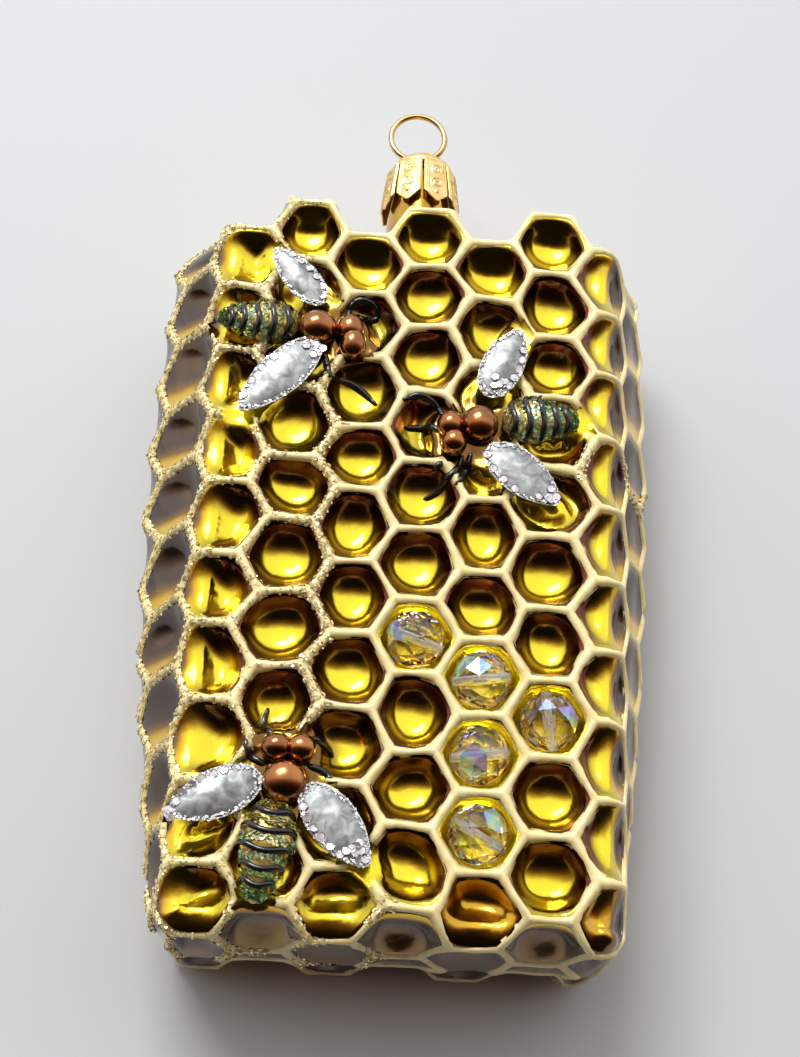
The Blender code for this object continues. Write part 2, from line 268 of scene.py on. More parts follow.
# %% [markdown]
# ## One cell
#
# A cell is a hexagon at its rim and a round bowl at its floor. Its depth depends only on the distance
# from the cell's middle measured towards its sides, so one profile serves every cell. The cups are
# shallow where the comb turns over an edge, deeper under a bead, and filled in beside a bee. The mould
# was cut by hand, so the whole lattice wanders by a few tenths of a millimetre.

# %% Cell profile
COLUMNS_EACH_WAY = 5
ROWS_DOWN = 7
ROWS_UP = 6
BEAD_CELLS = ((0, -1.5), (1, -2), (2, -2.5), (1, -3), (1, -4))
RIM_HALF_WIDTH = 0.62 * MM
CUP_DEPTH = 3.2 * MM
BEAD_CUP_DEPTH = 5.4 * MM
DEPTH_VARIATION = 0.12
BOWL_POWER = 3.2
BEAD_BOWL_POWER = 6
SHALLOWEST_CUP = 0.35
CUP_RECOVERY = 5 * MM
CORNER_FILL = 0.75
PARTING_REACH = 13 * MM
PARTING_CUPS_FROM = 5 * MM
PARTING_CUP_SHARE = 0.15
WANDER = 0.55 * MM
WANDER_LENGTH = 11 * MM
TRUE_ROUND_BEADS = 4.5 * MM
WANDER_FULL_FROM = 10 * MM


def nearest_cell(u, v):
    """Column and row of the cell that holds a point of the sheet."""
    best = None
    middle = round(u / COLUMN_PITCH)
    for column in (middle - 1, middle, middle + 1):
        half_row = 0.5 if column % 2 == 0 else 0
        row = round(v / ROW_PITCH - half_row) + half_row
        away = Vector((u - column * COLUMN_PITCH, v - row * ROW_PITCH)).length
        if best is None or away < best[0]:
            best = (away, column, row)
    return best[1], best[2]


def towards_sides(du, dv):
    """Distance from a cell's middle measured square to its nearest side: half a cell at the rim."""
    slant = abs(du) * math.cos(math.radians(30)) + abs(dv) * math.sin(math.radians(30))
    return max(abs(dv), slant)


def wander(u, v):
    """How far the hand-cut lattice strays here. It stays true round the beads, which have to fit."""
    place = Vector((u / WANDER_LENGTH, v / WANDER_LENGTH, 0.3))
    stray = Vector((noise.noise(place), noise.noise(place + Vector((17.0, 5.0, 2.0)))))
    away = min((Vector((u, v)) - Vector((c * COLUMN_PITCH, r * ROW_PITCH))).length for c, r in BEAD_CELLS)
    return stray * WANDER * 2 * smooth_step(away, TRUE_ROUND_BEADS, WANDER_FULL_FROM)


def cup_share(u, v):
    """Share of the full cup depth: cups get shallow over an edge or a corner, and by the parting plane."""
    flat = flat_area_point(u, v)
    outward = Vector((u, v)) - flat
    turn_middle = EDGE_RADIUS * math.pi / 4
    if outward.length == 0:
        inside = min(u - FRONT_LEFT, FRONT_RIGHT - u, v - bottom_edge(u), top_edge(u) - v) - EDGE_RADIUS
        return clamp((inside + turn_middle) / CUP_RECOVERY, SHALLOWEST_CUP, 1)
    over_edge = clamp(abs(outward.length - turn_middle) / CUP_RECOVERY, SHALLOWEST_CUP, 1)
    by_parting = 1 - (1 - PARTING_CUP_SHARE) * smooth_step(outward.length, PARTING_CUPS_FROM, PARTING_REACH)
    outward.normalize()
    return over_edge * by_parting * (1 - CORNER_FILL * 2 * abs(outward.x * outward.y))


def cup_lift(from_middle, column, row, is_front):
    """The cup's surface below the rims, at a distance from the cell's middle towards its sides."""
    inner = HALF_CELL - RIM_HALF_WIDTH
    if from_middle >= inner:
        return 0.0
    in_from_rim = 1 - from_middle / inner
    if is_front and (column, row) in BEAD_CELLS:
        return -BEAD_CUP_DEPTH * (1 - (1 - in_from_rim) ** BEAD_BOWL_POWER)
    own_depth = 1 + DEPTH_VARIATION * noise.noise(Vector((column * 3.7, row * 2.3, 1.5)))
    return -CUP_DEPTH * own_depth * (1 - (1 - in_from_rim) ** BOWL_POWER)


print("cup is", round(-cup_lift(0, 3, 3, True) / MM, 2), "mm deep at its middle")

# %% [markdown]
# ## The sheet of cells
#
# `create_circle` makes each hexagon, `remove_doubles` joins them into one sheet, the rims are cut into
# short stretches, and a few insets put rings of faces in each cell. Only then are the vertices moved:
# first the rings are rounded and pushed in, then the sheet is folded. Enamel and glass use the same
# sheet, so the lines follow the rims exactly.

# %% Flat sheet
RIM_CUTS = 3
RIM_RINGS = (0.3, 0.32)
CUP_RINGS = (0.3, 0.42, 0.6, 0.75, 0.9, 0.8)


def flat_sheet(rings):
    """Flat hexagons with rings of faces at these spacings, in mm. Returns the bmesh and inner faces."""
    bm = bmesh.new()
    for column in range(-COLUMNS_EACH_WAY, COLUMNS_EACH_WAY + 1):
        half_row = 0.5 if column % 2 == 0 else 0
        for row in range(-ROWS_DOWN, ROWS_UP + 1):
            place = Matrix.Translation((column * COLUMN_PITCH, (row + half_row) * ROW_PITCH, 0))
            turned = place @ Matrix.Rotation(math.radians(30), 4, "Z")
            bmesh.ops.create_circle(bm, cap_ends=True, segments=6, radius=CELL_RADIUS, matrix=turned)
    bmesh.ops.remove_doubles(bm, verts=bm.verts, dist=0.01 * MM)
    bmesh.ops.subdivide_edges(bm, edges=bm.edges, cuts=RIM_CUTS)
    cells = list(bm.faces)
    reach = HALF_CELL
    for spacing in rings:
        bmesh.ops.inset_individual(bm, faces=cells, thickness=0)
        for face in cells:
            middle = face.calc_center_median()
            for vert in face.verts:
                vert.co = middle.lerp(vert.co, (reach - spacing * MM) / reach)
        reach -= spacing * MM
    return bm, cells


trial, trial_cells = flat_sheet(RIM_RINGS + CUP_RINGS)
print("cells:", len(trial_cells), "faces in the flat sheet:", len(trial.faces))
trial.free()

# %% Shaping the sheet
ROUNDING_START = HALF_CELL
ROUNDING_END = 3.6 * MM
ROUND_CUP_GROWTH = 1.03


def rounded(u, v, column, row):
    """Turns the hexagonal rings into round ones, more so the nearer they are to the cell's middle."""
    du = u - column * COLUMN_PITCH
    dv = v - row * ROW_PITCH
    from_middle = towards_sides(du, dv)
    reach = math.hypot(du, dv)
    if reach == 0:
        return u, v, 0.0
    roundness = smooth_step(from_middle, ROUNDING_START, ROUNDING_END)
    scale = 1 + (from_middle * ROUND_CUP_GROWTH / reach - 1) * roundness
    return column * COLUMN_PITCH + du * scale, row * ROW_PITCH + dv * scale, from_middle


def cut_at_parting(bm):
    everything = list(bm.verts) + list(bm.edges) + list(bm.faces)
    bmesh.ops.bisect_plane(bm, geom=everything, plane_co=(0, 0, PARTING_HEIGHT), plane_no=(0, 0, -1),
                           dist=0.001 * MM, clear_outer=True)


def join_into(bm, other):
    """Adds one bmesh to another and frees it."""
    carried = bpy.data.meshes.new("carried")
    other.to_mesh(carried)
    other.free()
    bm.from_mesh(carried)
    bpy.data.meshes.remove(carried)


def face_outward(bm):
    bmesh.ops.recalc_face_normals(bm, faces=bm.faces)


def both_halves(make_half):
    """A front half and a back half turned over, joined where they meet at the parting plane."""
    bm = make_half(True)
    back = make_half(False)
    for vert in back.verts:
        vert.co.z = DEPTH - vert.co.z
    bmesh.ops.reverse_faces(back, faces=back.faces)
    join_into(bm, back)
    bmesh.ops.remove_doubles(bm, verts=bm.verts, dist=0.02 * MM)
    face_outward(bm)
    return bm


print("rings are round within", round(ROUNDING_END / MM, 2), "mm of a cell's middle")

# %% [markdown]
# ## Lacquer and painted shade on the glass
#
# A near black painted shade lies on the cups' walls, and a painted dark reflection runs up to their upper
# rims, but not under the beads. The block's walls are a duller brown, partly coat and partly painted shade,
# with a painted amber reflection only at each cell's foot. Both are worked out for every vertex and kept
# as vertex attributes, so that they follow the cells exactly.

# %% Glass sheet
# Painted shade on the cups' walls, and a painted dark reflection on each cup's upper side.
WALL_SHADE_FULL_WITHIN = 0.2
WALL_SHADE_ENDS_AT = 0.36
UPPER_DARK_REFLECTION = 0.9
UPPER_REFLECTION_FROM = 0.05
UPPER_REFLECTION_TO = 0.6
RIM_UNSHADED = -0.05
RIM_SHADED = 0.1
SHALLOW_CUP_SHADE = 1.3
# Painted shade and reflection of the bees' bodies, darkening the comb round them.
BODY_SHADE = 0.92
BODY_SHADE_WITHIN = 1.2 * MM
BODY_SHADE_ENDS = 4.2 * MM
# Painted shade on the bottom row of cells right of the middle, which face away from the light.
SHADED_ROW = -5
SHADED_ROW_SHARE = 0.4
# The walls' dark brown is partly a thinner coat and partly painted shade.
WALL_LACQUER_AND_SHADE = 0.1
# Painted amber reflection of the bright floor at the foot of each wall cell, weaker on the lower wall, which
# faces the dark.
SIDE_FOOT_REFLECTION = 0.5
BOTTOM_FOOT_REFLECTION = 0.12
CELL_FOOT = 0.75
PAD_LIFT = -0.7 * MM
PAD_REACH = 1.9 * MM
PAD_FULL_WITHIN = 0.2 * MM
PAD_RIPPLE = 0.5 * MM
PAD_RIPPLE_LENGTH = 2.5 * MM


def cup_painted_shade(in_from_rim, down_cell, depth_share):
    """Painted shade on the ring of wall below a rim and a painted dark reflection on the cell's upper side,
    less where a cup is shallow.
    """
    on_wall = smooth_step(in_from_rim, WALL_SHADE_ENDS_AT, WALL_SHADE_FULL_WITHIN)
    upper_reflection = UPPER_DARK_REFLECTION * smooth_step(-down_cell, UPPER_REFLECTION_FROM, UPPER_REFLECTION_TO)
    upper_reflection *= smooth_step(in_from_rim, RIM_UNSHADED, RIM_SHADED)
    return max(on_wall, upper_reflection) * clamp(depth_share * SHALLOW_CUP_SHADE)


def lacquer_and_shade_at(v, down_cell, facing):
    """Full on the front. On the walls it is low, thin coat and painted shade, and higher at each cell's
    foot, a painted reflection; less on the lower wall.
    """
    # Painted reflection: amber at each wall cell's foot.
    foot = SIDE_FOOT_REFLECTION if v > FRONT_BOTTOM + EDGE_RADIUS else BOTTOM_FOOT_REFLECTION
    on_wall = WALL_LACQUER_AND_SHADE + foot * smooth_step(down_cell, 0.0, CELL_FOOT)
    return on_wall + (1 - on_wall) * facing


def glass_half(is_front):
    bm, cells = flat_sheet(RIM_RINGS + CUP_RINGS)
    bmesh.ops.poke(bm, faces=cells)
    lacquer_and_shade_layer = bm.verts.layers.float.new("lacquer_and_shade")
    painted_shade_layer = bm.verts.layers.float.new("painted_shade")
    for vert in bm.verts:
        u, v, _ = vert.co
        column, row = nearest_cell(u, v)
        down_cell = (row * ROW_PITCH - v) / HALF_CELL
        u, v, from_middle = rounded(u, v, column, row)
        share = cup_share(u, v)
        lift = cup_lift(from_middle, column, row, is_front) * share
        # Painted shade and painted dark reflection inside the cup.
        painted_shade = cup_painted_shade(1 - from_middle / (HALF_CELL - RIM_HALF_WIDTH), down_cell, share)
        if is_front and (column, row) in BEAD_CELLS:
            painted_shade = 0
        # Painted shade darkens the bottom row of cells right of the middle.
        facing = facing_front(u, v) * (SHADED_ROW_SHARE if column > 0 and row == SHADED_ROW else 1)
        stray = wander(u, v)
        u += stray.x
        v += stray.y
        if is_front:
            ripple = PAD_RIPPLE * noise.noise(Vector((u, v, 0)) / PAD_RIPPLE_LENGTH)
            filled = smooth_step(bee_distance(u, v, SHAPES), PAD_REACH, PAD_FULL_WITHIN)
            lift += (PAD_LIFT + ripple - lift) * filled
            # Painted shade and reflection round the bees' bodies darken the comb.
            near_body = smooth_step(bee_distance(u, v, BODIES), BODY_SHADE_ENDS, BODY_SHADE_WITHIN)
            painted_shade = max(painted_shade * (1 - filled), BODY_SHADE * near_body)
        vert[lacquer_and_shade_layer] = lacquer_and_shade_at(v, down_cell, facing)
        vert[painted_shade_layer] = painted_shade * facing
        vert.co = fold(u, v, lift)
    cut_at_parting(bm)
    return bm


print("stain just below a rim:", cup_painted_shade(0.1, 0, 1), "and on a cup's floor:", cup_painted_shade(0.9, 0, 1))

# %% Making objects
UP = Vector((0, 0, 1))


def finish_piece(bm, name, material, smooth=True, replaces=()):
    """Turns a bmesh into a finished piece: named, shaded, with its material and its place in the frame."""
    mesh = bpy.data.meshes.new(name)
    for face in bm.faces:
        face.smooth = smooth
    bm.to_mesh(mesh)
    bm.free()
    made = bpy.data.objects.new(name, mesh)
    scene.collection.objects.link(made)
    mesh.materials.append(material)
    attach(made, "root")
    if replaces:
        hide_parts(*replaces)
    mesh.calc_loop_triangles()
    print(name, "has", len(mesh.loop_triangles), "triangles")
    return made


print("pieces ride on the root body and are in metres, as the solids are")

# %% [markdown]
# ## Finishes
#
# Each finish is a small node tree round a Principled BSDF. No real finish has one even colour, so most
# of them run through a few colours over a noise pattern. The helpers keep the trees short.

# %% Material helpers


def node(tree, kind, **values):
    """Adds a node. Plain values are set on its properties, or on its inputs of that name."""
    made = tree.nodes.new(kind)
    for name, value in values.items():
        if hasattr(made, name):
            setattr(made, name, value)
        else:
            made.inputs[name.replace("_", " ").title()].default_value = value
    return made


def new_material(name, **values):
    """A material with one Principled BSDF, whose sockets are set by their names in small letters."""
    made = bpy.data.materials.new(name)
    made.use_nodes = True
    shader = made.node_tree.nodes["Principled BSDF"]
    for key, value in values.items():
        socket = shader.inputs[key.replace("_", " ").title().replace("Ior", "IOR")]
        socket.default_value = (*value, 1) if isinstance(value, tuple) else value
    return made, made.node_tree, shader


def noise_pattern(tree, size, detail=3.0, distortion=0.0):
    """Noise on the object's own coordinates, with features of about this size in metres."""
    place = node(tree, "ShaderNodeTexCoord")
    pattern = node(tree, "ShaderNodeTexNoise", scale=1 / size, detail=detail, distortion=distortion)
    tree.links.new(place.outputs["Object"], pattern.inputs["Vector"])
    return pattern


def ramp(tree, source, *stops):
    """A colour ramp over a 0 to 1 value. Each stop is (position, colour)."""
    made = node(tree, "ShaderNodeValToRGB")
    elements = made.color_ramp.elements
    while len(elements) < len(stops):
        elements.new(0.5)
    for element, (position, colour) in zip(elements, stops):
        element.position = position
        element.color = (*colour, 1)
    tree.links.new(source, made.inputs["Fac"])
    return made.outputs["Color"]


def mixed(tree, factor, first, second):
    """A mix of one colour and a plain second one by a 0 to 1 value."""
    made = node(tree, "ShaderNodeMix", data_type="RGBA")
    tree.links.new(factor, made.inputs[0])
    tree.links.new(first, made.inputs[6])
    made.inputs[7].default_value = (*second, 1)
    return made.outputs[2]


def patterned(name, pattern, stops, **values):
    """A material coloured by a ramp over noise, whose pattern is (size, detail, distortion)."""
    made, tree, shader = new_material(name, **values)
    colour = ramp(tree, noise_pattern(tree, *pattern).outputs["Fac"], *stops)
    tree.links.new(colour, shader.inputs["Base Color"])
    return made


def roughened(material, pattern, height, strength):
    """Adds bumps of about this height in metres to a material, over noise of this pattern."""
    tree = material.node_tree
    bumps = node(tree, "ShaderNodeBump", strength=strength, distance=height)
    tree.links.new(noise_pattern(tree, *pattern).outputs["Fac"], bumps.inputs["Height"])
    tree.links.new(bumps.outputs["Normal"], tree.nodes["Principled BSDF"].inputs["Normal"])


print("material helpers ready")

# %% [markdown]
# ## Silvered glass under amber lacquer
#
# The silver behind the glass makes every cup a small concave mirror, so the surface is a metal with a
# clear coat: the amber tints each reflection, and light that bounces twice in a cup comes out deeper.
# Lacquer is thin on the floors, which look yellow. The cups' walls are painted nearly black: painted shade,
# with a painted dark reflection on each cup's upper side. Round the bees' bodies the comb is darkened with a
# painted shade and reflection of the bodies. The block's own walls are a duller brown, partly coat and
# partly painted shade, that fades to a painted amber reflection at each cell's foot. Two vertex attributes
# say where each lies. A faint bump is the ripple of blown glass.

# %% Glass finish
LACQUER_PATCHES = 6 * MM
LACQUER_UNEVENNESS = 0.24
# Colours of the lacquer attribute: dark brown for the walls' coat and painted shade, up to the cups' amber
# lacquer.
LACQUER_AND_SHADE_COLOURS = ((0.22, (0.09, 0.064, 0.052)), (0.42, (0.3, 0.16, 0.035)), (0.62, (0.85, 0.5, 0.02)),
            (0.95, (1.0, 0.8, 0.03)))
# Near black painted shade, for the cups' walls and round the bees' bodies.
PAINTED_SHADE_COLOUR = (0.13, 0.035, 0.01)
glass_material, tree, shader = new_material("amber_silvered_glass", metallic=1.0, roughness=0.17,
                                            coat_weight=0.6, coat_roughness=0.03)
# This attribute holds the real lacquer and the walls' painted shade.
lacquer_and_shade_node = node(tree, "ShaderNodeAttribute", attribute_name="lacquer_and_shade")
uneven = node(tree, "ShaderNodeMath", operation="MULTIPLY_ADD")
tree.links.new(noise_pattern(tree, LACQUER_PATCHES, 2.0).outputs["Fac"], uneven.inputs[0])
uneven.inputs[1].default_value = LACQUER_UNEVENNESS
tree.links.new(lacquer_and_shade_node.outputs["Fac"], uneven.inputs[2])
# The painted shade attribute mixes the glass towards that near black.
painted_shade_node = node(tree, "ShaderNodeAttribute", attribute_name="painted_shade")
glass_colour = mixed(tree, painted_shade_node.outputs["Fac"], ramp(tree, uneven.outputs[0], *LACQUER_AND_SHADE_COLOURS), PAINTED_SHADE_COLOUR)
tree.links.new(glass_colour, shader.inputs["Base Color"])
roughened(glass_material, (3 * MM, 2.0, 0.4), 0.12 * MM, 0.5)
print("finish:", glass_material.name)

# %% The glass comb
comb_bm = both_halves(glass_half)
print("open edges in the comb:", sum(1 for edge in comb_bm.edges if not edge.is_manifold))
comb_surface = BVHTree.FromBMesh(comb_bm)
finish_piece(comb_bm, "glass_comb", glass_material, replaces=("glass_body",))

# %% [markdown]
# ## Enamel on the rims
#
# A brush laid thick cream enamel on every rim. It is a raised line of its own, so it is a separate
# piece: the same sheet of hexagons with its cells' inner faces deleted, domed a little, uneven in width
# and height, and missing where a bee covers the comb.

# %% Enamel lines
ENAMEL_RINGS = (0.3, 0.4)
ENAMEL_THICKNESS = 0.25 * MM
ENAMEL_SECTION = ((0.2, 0.42), (0.7, 0.3), (math.inf, -0.18))
BARE_ROUND_BEE = 0.9 * MM
BRUSH_LENGTH = 2.2 * MM
BRUSH_DEPTH = 4 * MM
UNEVEN_WIDTH = 0.45
UNEVEN_HEIGHT = 0.35


def enamel_lift(in_from_rim, brush):
    """Height of the line above the rim: a few steps from its middle to its edge, which is sunk in."""
    share = in_from_rim / (sum(ENAMEL_RINGS) * MM)
    height = next(step for reach, step in ENAMEL_SECTION if share < reach) * MM
    return height * (1 + UNEVEN_HEIGHT * brush) if height > 0 else height


def enamel_half(is_front):
    bm, cells = flat_sheet(ENAMEL_RINGS)
    bmesh.ops.delete(bm, geom=cells, context="FACES")
    unpainted = []
    for face in bm.faces:
        middle = face.calc_center_median().xy
        middle += wander(*middle)
        if is_front and bee_distance(*middle, SHAPES) < BARE_ROUND_BEE:
            unpainted.append(face)
    bmesh.ops.delete(bm, geom=unpainted, context="FACES")
    for vert in bm.verts:
        u, v, _ = vert.co
        column, row = nearest_cell(u, v)
        in_from_rim = HALF_CELL - towards_sides(u - column * COLUMN_PITCH, v - row * ROW_PITCH)
        u, v, _ = rounded(u, v, column, row)
        away = Vector((u - column * COLUMN_PITCH, v - row * ROW_PITCH)).normalized()
        brush = noise.noise(Vector((u, v, BRUSH_DEPTH)) / BRUSH_LENGTH)
        shift = wander(u, v) - away * in_from_rim * UNEVEN_WIDTH * brush
        vert.co = fold(u + shift.x, v + shift.y, enamel_lift(in_from_rim, brush))
    cut_at_parting(bm)
    return bm


CREAMS = ((0.3, (0.84, 0.66, 0.26)), (0.5, (0.92, 0.77, 0.37)), (0.7, (0.97, 0.86, 0.5)))
enamel_material = patterned("cream_enamel", (1.6 * MM, 4.0), CREAMS,
                            roughness=0.38, coat_weight=0.25, coat_roughness=0.2)
roughened(enamel_material, (0.5 * MM, 4.0), 0.08 * MM, 0.5)

enamel_bm = both_halves(enamel_half)
enamel_top = enamel_bm.copy()
bmesh.ops.solidify(enamel_bm, geom=enamel_bm.faces, thickness=ENAMEL_THICKNESS)
finish_piece(enamel_bm, "enamel_lines", enamel_material)

# %% [markdown]
# ## The neck
#
# The neck is the tube that the glass was blown through. It is turned with `spin` round the axis at mid
# depth and runs down into the comb, so the two meet without a gap.

# %% Neck
NECK_X = LATTICE.x - 1.2 * MM
NECK_PROFILE = ((42.0, 6.6), (46.0, 6.1), (50.0, 5.6), (54.0, 5.3), (58.0, 5.05), (61.0, 4.6), (64.0, 4.3),
                (65.6, 4.2), (66.0, 3.9), (66.0, 3.2))
NECK_STEPS = 48
NECK_WALL = 0.6 * MM
NECK_LACQUER = 0.4


def turned(profile, steps):
    """Turns a (height along +Y, radius) profile in mm about the neck's axis."""
    bm = bmesh.new()
    verts = [bm.verts.new((radius * MM, height * MM, 0)) for height, radius in profile]
    edges = [bm.edges.new(pair) for pair in zip(verts, verts[1:])]
    bmesh.ops.spin(bm, geom=verts + edges, cent=(0, 0, 0), axis=(0, 1, 0), angle=math.tau, steps=steps,
                   use_merge=True)
    bmesh.ops.remove_doubles(bm, verts=bm.verts, dist=0.01 * MM)
    face_outward(bm)
    bmesh.ops.translate(bm, verts=bm.verts, vec=(NECK_X, LATTICE.y, PARTING_HEIGHT))
    return bm


neck_bm = turned(NECK_PROFILE, NECK_STEPS)
neck_layer = neck_bm.verts.layers.float.new("lacquer_and_shade")
for vert in neck_bm.verts:
    vert[neck_layer] = NECK_LACQUER
bmesh.ops.solidify(neck_bm, geom=neck_bm.faces, thickness=NECK_WALL)
finish_piece(neck_bm, "glass_neck", glass_material)

# %% [markdown]
# ## Small repeated things
#
# Glitter and sequins are hundreds of flat flakes. Calling an operator for each would be slow, so one
# circle is duplicated until there are enough faces, and each face's corners are then set in place.
# Brushed lines are tubes: a circle at every point of the line, bridged to the next.

# %% Flakes and tubes
CORNER_CUT = 0.25
DRAPE_FROM = 10 * MM


def flake_mesh(places, sides):
    """One flat flake for each (middle, normal, radius, turn)."""
    bm = bmesh.new()
    bmesh.ops.create_circle(bm, cap_ends=True, segments=sides, radius=1)
    while len(bm.faces) < len(places):
        wanted = min(len(bm.faces), len(places) - len(bm.faces))
        bmesh.ops.duplicate(bm, geom=list(bm.faces)[:wanted])
    for face, (middle, normal, radius, turn) in zip(bm.faces, places):
        across = normal.orthogonal().normalized()
        up = normal.cross(across)
        for corner, vert in enumerate(face.verts):
            angle = turn + math.tau * corner / sides
            vert.co = middle + (across * math.cos(angle) + up * math.sin(angle)) * radius
    bm.normal_update()
    return bm


def tube(bm, points, radii, sides=8):
    """A closed tube through the points, with its own radius at each."""
    loops = []
    for index, point in enumerate(points):
        ahead = points[min(index + 1, len(points) - 1)] - points[max(index - 1, 0)]
        turn = ahead.to_track_quat("Z", "Y").to_matrix().to_4x4()
        ring = bmesh.ops.create_circle(bm, segments=sides, radius=radii[index],
                                       matrix=Matrix.Translation(point) @ turn)
        loops.append(list({edge for vert in ring["verts"] for edge in vert.link_edges}))
    for first, second in zip(loops, loops[1:]):
        bmesh.ops.bridge_loops(bm, edges=first + second)
    for end in (loops[0], loops[-1]):
        bmesh.ops.holes_fill(bm, edges=end, sides=sides)


def eased(points, rounds=3):
    """Rounds a line's corners by cutting them, a few times over, and keeps its two ends."""
    points = [Vector(point) for point in points]
    for _ in range(rounds):
        cut = [points[0]]
        for first, second in zip(points, points[1:]):
            cut += [first.lerp(second, CORNER_CUT), first.lerp(second, 1 - CORNER_CUT)]
        points = cut + [points[-1]]
    return points


def drape(x, y, above):
    """The point of the comb's front right under (x, y), and a little above it."""
    start = LATTICE + Vector((x, y, DEPTH + DRAPE_FROM))
    hit = comb_surface.ray_cast(start, -UP)[0]
    return (hit if hit else start) + UP * above


print("a draped point:", [round(value / MM, 2) for value in drape(0, 0, 0)])

# %% [markdown]
# ## Bees: thorax and head
#
# Thorax and head are domes of the same blown glass, lacquered copper brown. They are spheres squashed
# to their outlines and sunk into the comb's filled-in patch, which wells up round them like a fillet.

# %% Bee bodies
BODY_RISE = 0.6 * MM
THORAX_HEIGHT = 2.4 * MM
LOBE_HEIGHT = 0.8 * THORAX_HEIGHT
THORAX_SEGMENTS = 32
LOBE_SEGMENTS = 24
copper_material = patterned("copper_lacquer", (3 * MM, 3.0),
                            ((0.3, (0.22, 0.07, 0.015)), (0.7, (0.5, 0.19, 0.045))),
                            metallic=1.0, roughness=0.22, coat_weight=0.8, coat_roughness=0.04)
roughened(copper_material, (1.5 * MM,), 0.08 * MM, 0.4)


def dome(bm, x, y, half_x, half_y, height, segments):
    middle = LATTICE + Vector((x * MM, y * MM, DEPTH + BODY_RISE))
    shape = Matrix.Translation(middle) @ Matrix.Diagonal((half_x * MM, half_y * MM, height, 1))
    bmesh.ops.create_uvsphere(bm, u_segments=segments, v_segments=segments // 2, radius=1, matrix=shape)


for number, shape in enumerate(BEES, 1):
    body_bm = bmesh.new()
    dome(body_bm, *shape["thorax"], THORAX_HEIGHT, THORAX_SEGMENTS)
    for lobe in shape["lobes"]:
        dome(body_bm, *lobe, LOBE_HEIGHT, LOBE_SEGMENTS)
    finish_piece(body_bm, f"bee_{number}_thorax_and_head", copper_material)

# %% [markdown]
# ## Bees: abdomen
#
# The abdomen is a teardrop with soft segments. Black enamel bands cross it, and the fields between are
# covered with coarse gold and green glitter. The bands are half hoops that follow its outline.

# %% Abdomens
ABDOMEN_SEGMENTS = 32
ABDOMEN_LOOPS = 24
ABDOMEN_HEIGHT = 2.3 * MM
ABDOMEN_RISE = 0.7 * BODY_RISE
BLUNTNESS = 2.6
REAR_WIDTH = 0.86
REAR_TAPER = 0.26
SEGMENT_GROOVE = 0.12 * MM
GROOVES_IN_HALF = 6
BANDS = (-0.72, -0.36, 0.0, 0.34, 0.64)
BAND_RADIUS = 0.42 * MM
BAND_LIFT = 0.08 * MM
BAND_STEPS = 16
BAND_START = math.radians(-12)
BAND_END = math.radians(192)
BAND_SWAY = 0.05
BAND_THINNEST = 0.75
BAND_SWELL = 0.35
gold_material = patterned("old_gold_lacquer", (1.2 * MM,),
                          ((0.3, (0.4, 0.27, 0.06)), (0.7, (0.75, 0.55, 0.2))),
                          metallic=1.0, roughness=0.3)
black_material = patterned("black_enamel", (1 * MM,),
                           ((0.3, (0.004, 0.004, 0.004)), (0.7, (0.012, 0.011, 0.01))),
                           roughness=0.2, coat_weight=0.5)


def abdomen_girth(share):
    """Half width as a share of the widest, from -1 at the thorax to 1 at the tail. The rear is slimmer."""
    blunt = math.sqrt(max(1 - abs(share) ** BLUNTNESS, 0))
    return blunt * (REAR_WIDTH - REAR_TAPER * share) if share > 0 else blunt


def abdomen_frame(shape):
    """Middle, direction along, direction across, half length and half width of an abdomen."""
    start, end, half_width = shape["abdomen"]
    start = LATTICE + Vector((*start, 0)) * MM
    end = LATTICE + Vector((*end, 0)) * MM
    along = (end - start).normalized()
    middle = (start + end) / 2 + UP * (DEPTH + ABDOMEN_RISE)
    return middle, along, UP.cross(along), (end - start).length / 2, half_width * MM


def abdomen_point(shape, share, angle, swell=0.0):
    """A point on the abdomen: share along it, and angle round it from one side over the top."""
    middle, along, across, half_length, half_width = abdomen_frame(shape)
    girth = abdomen_girth(share)
    side = across * math.cos(angle) * (half_width * girth + swell)
    up = UP * math.sin(angle) * (ABDOMEN_HEIGHT * girth + swell)
    return middle + along * half_length * share + side + up


def abdomen(shape):
    bm = bmesh.new()
    bmesh.ops.create_uvsphere(bm, u_segments=ABDOMEN_SEGMENTS, v_segments=ABDOMEN_LOOPS, radius=1)
    for vert in bm.verts:
        share = clamp(vert.co.z, -1, 1)
        groove = -SEGMENT_GROOVE * math.cos(share * GROOVES_IN_HALF * math.pi) ** 2
        vert.co = abdomen_point(shape, share, math.atan2(vert.co.y, vert.co.x), groove)
    face_outward(bm)
    return bm


def bands(shape, number):
    """Half hoops over the abdomen, thickest on top. Each bee's sway a little differently."""
    bm = bmesh.new()
    angles = [BAND_START + (BAND_END - BAND_START) * step / BAND_STEPS for step in range(BAND_STEPS + 1)]
    width = [BAND_RADIUS * (BAND_THINNEST + BAND_SWELL * math.sin(angle)) for angle in angles]
    for band in BANDS:
        sway = [band + BAND_SWAY * math.sin(3 * angle + number) for angle in angles]
        line = [abdomen_point(shape, share, angle, BAND_LIFT) for share, angle in zip(sway, angles)]
        tube(bm, line, width)
    face_outward(bm)
    return bm


for number, shape in enumerate(BEES, 1):
    finish_piece(abdomen(shape), f"bee_{number}_abdomen", gold_material)
    finish_piece(bands(shape, number), f"bee_{number}_bands", black_material)

# %% [markdown]
# ## Glitter
#
# Glitter is flat foil cut in tiny hexagons and dropped on wet glue, so every flake lies at its own
# tilt and flashes on its own. Two colours lie mixed on each abdomen, more green towards the tail.

# %% Glitter on the abdomens
random.seed(11)
ABDOMEN_FLAKES = 2400
FLAKE_SIDES = 6
BARE_BY_BAND = 0.09
GREEN_SHARE = 0.42
GREEN_TOWARDS_TAIL = 0.3


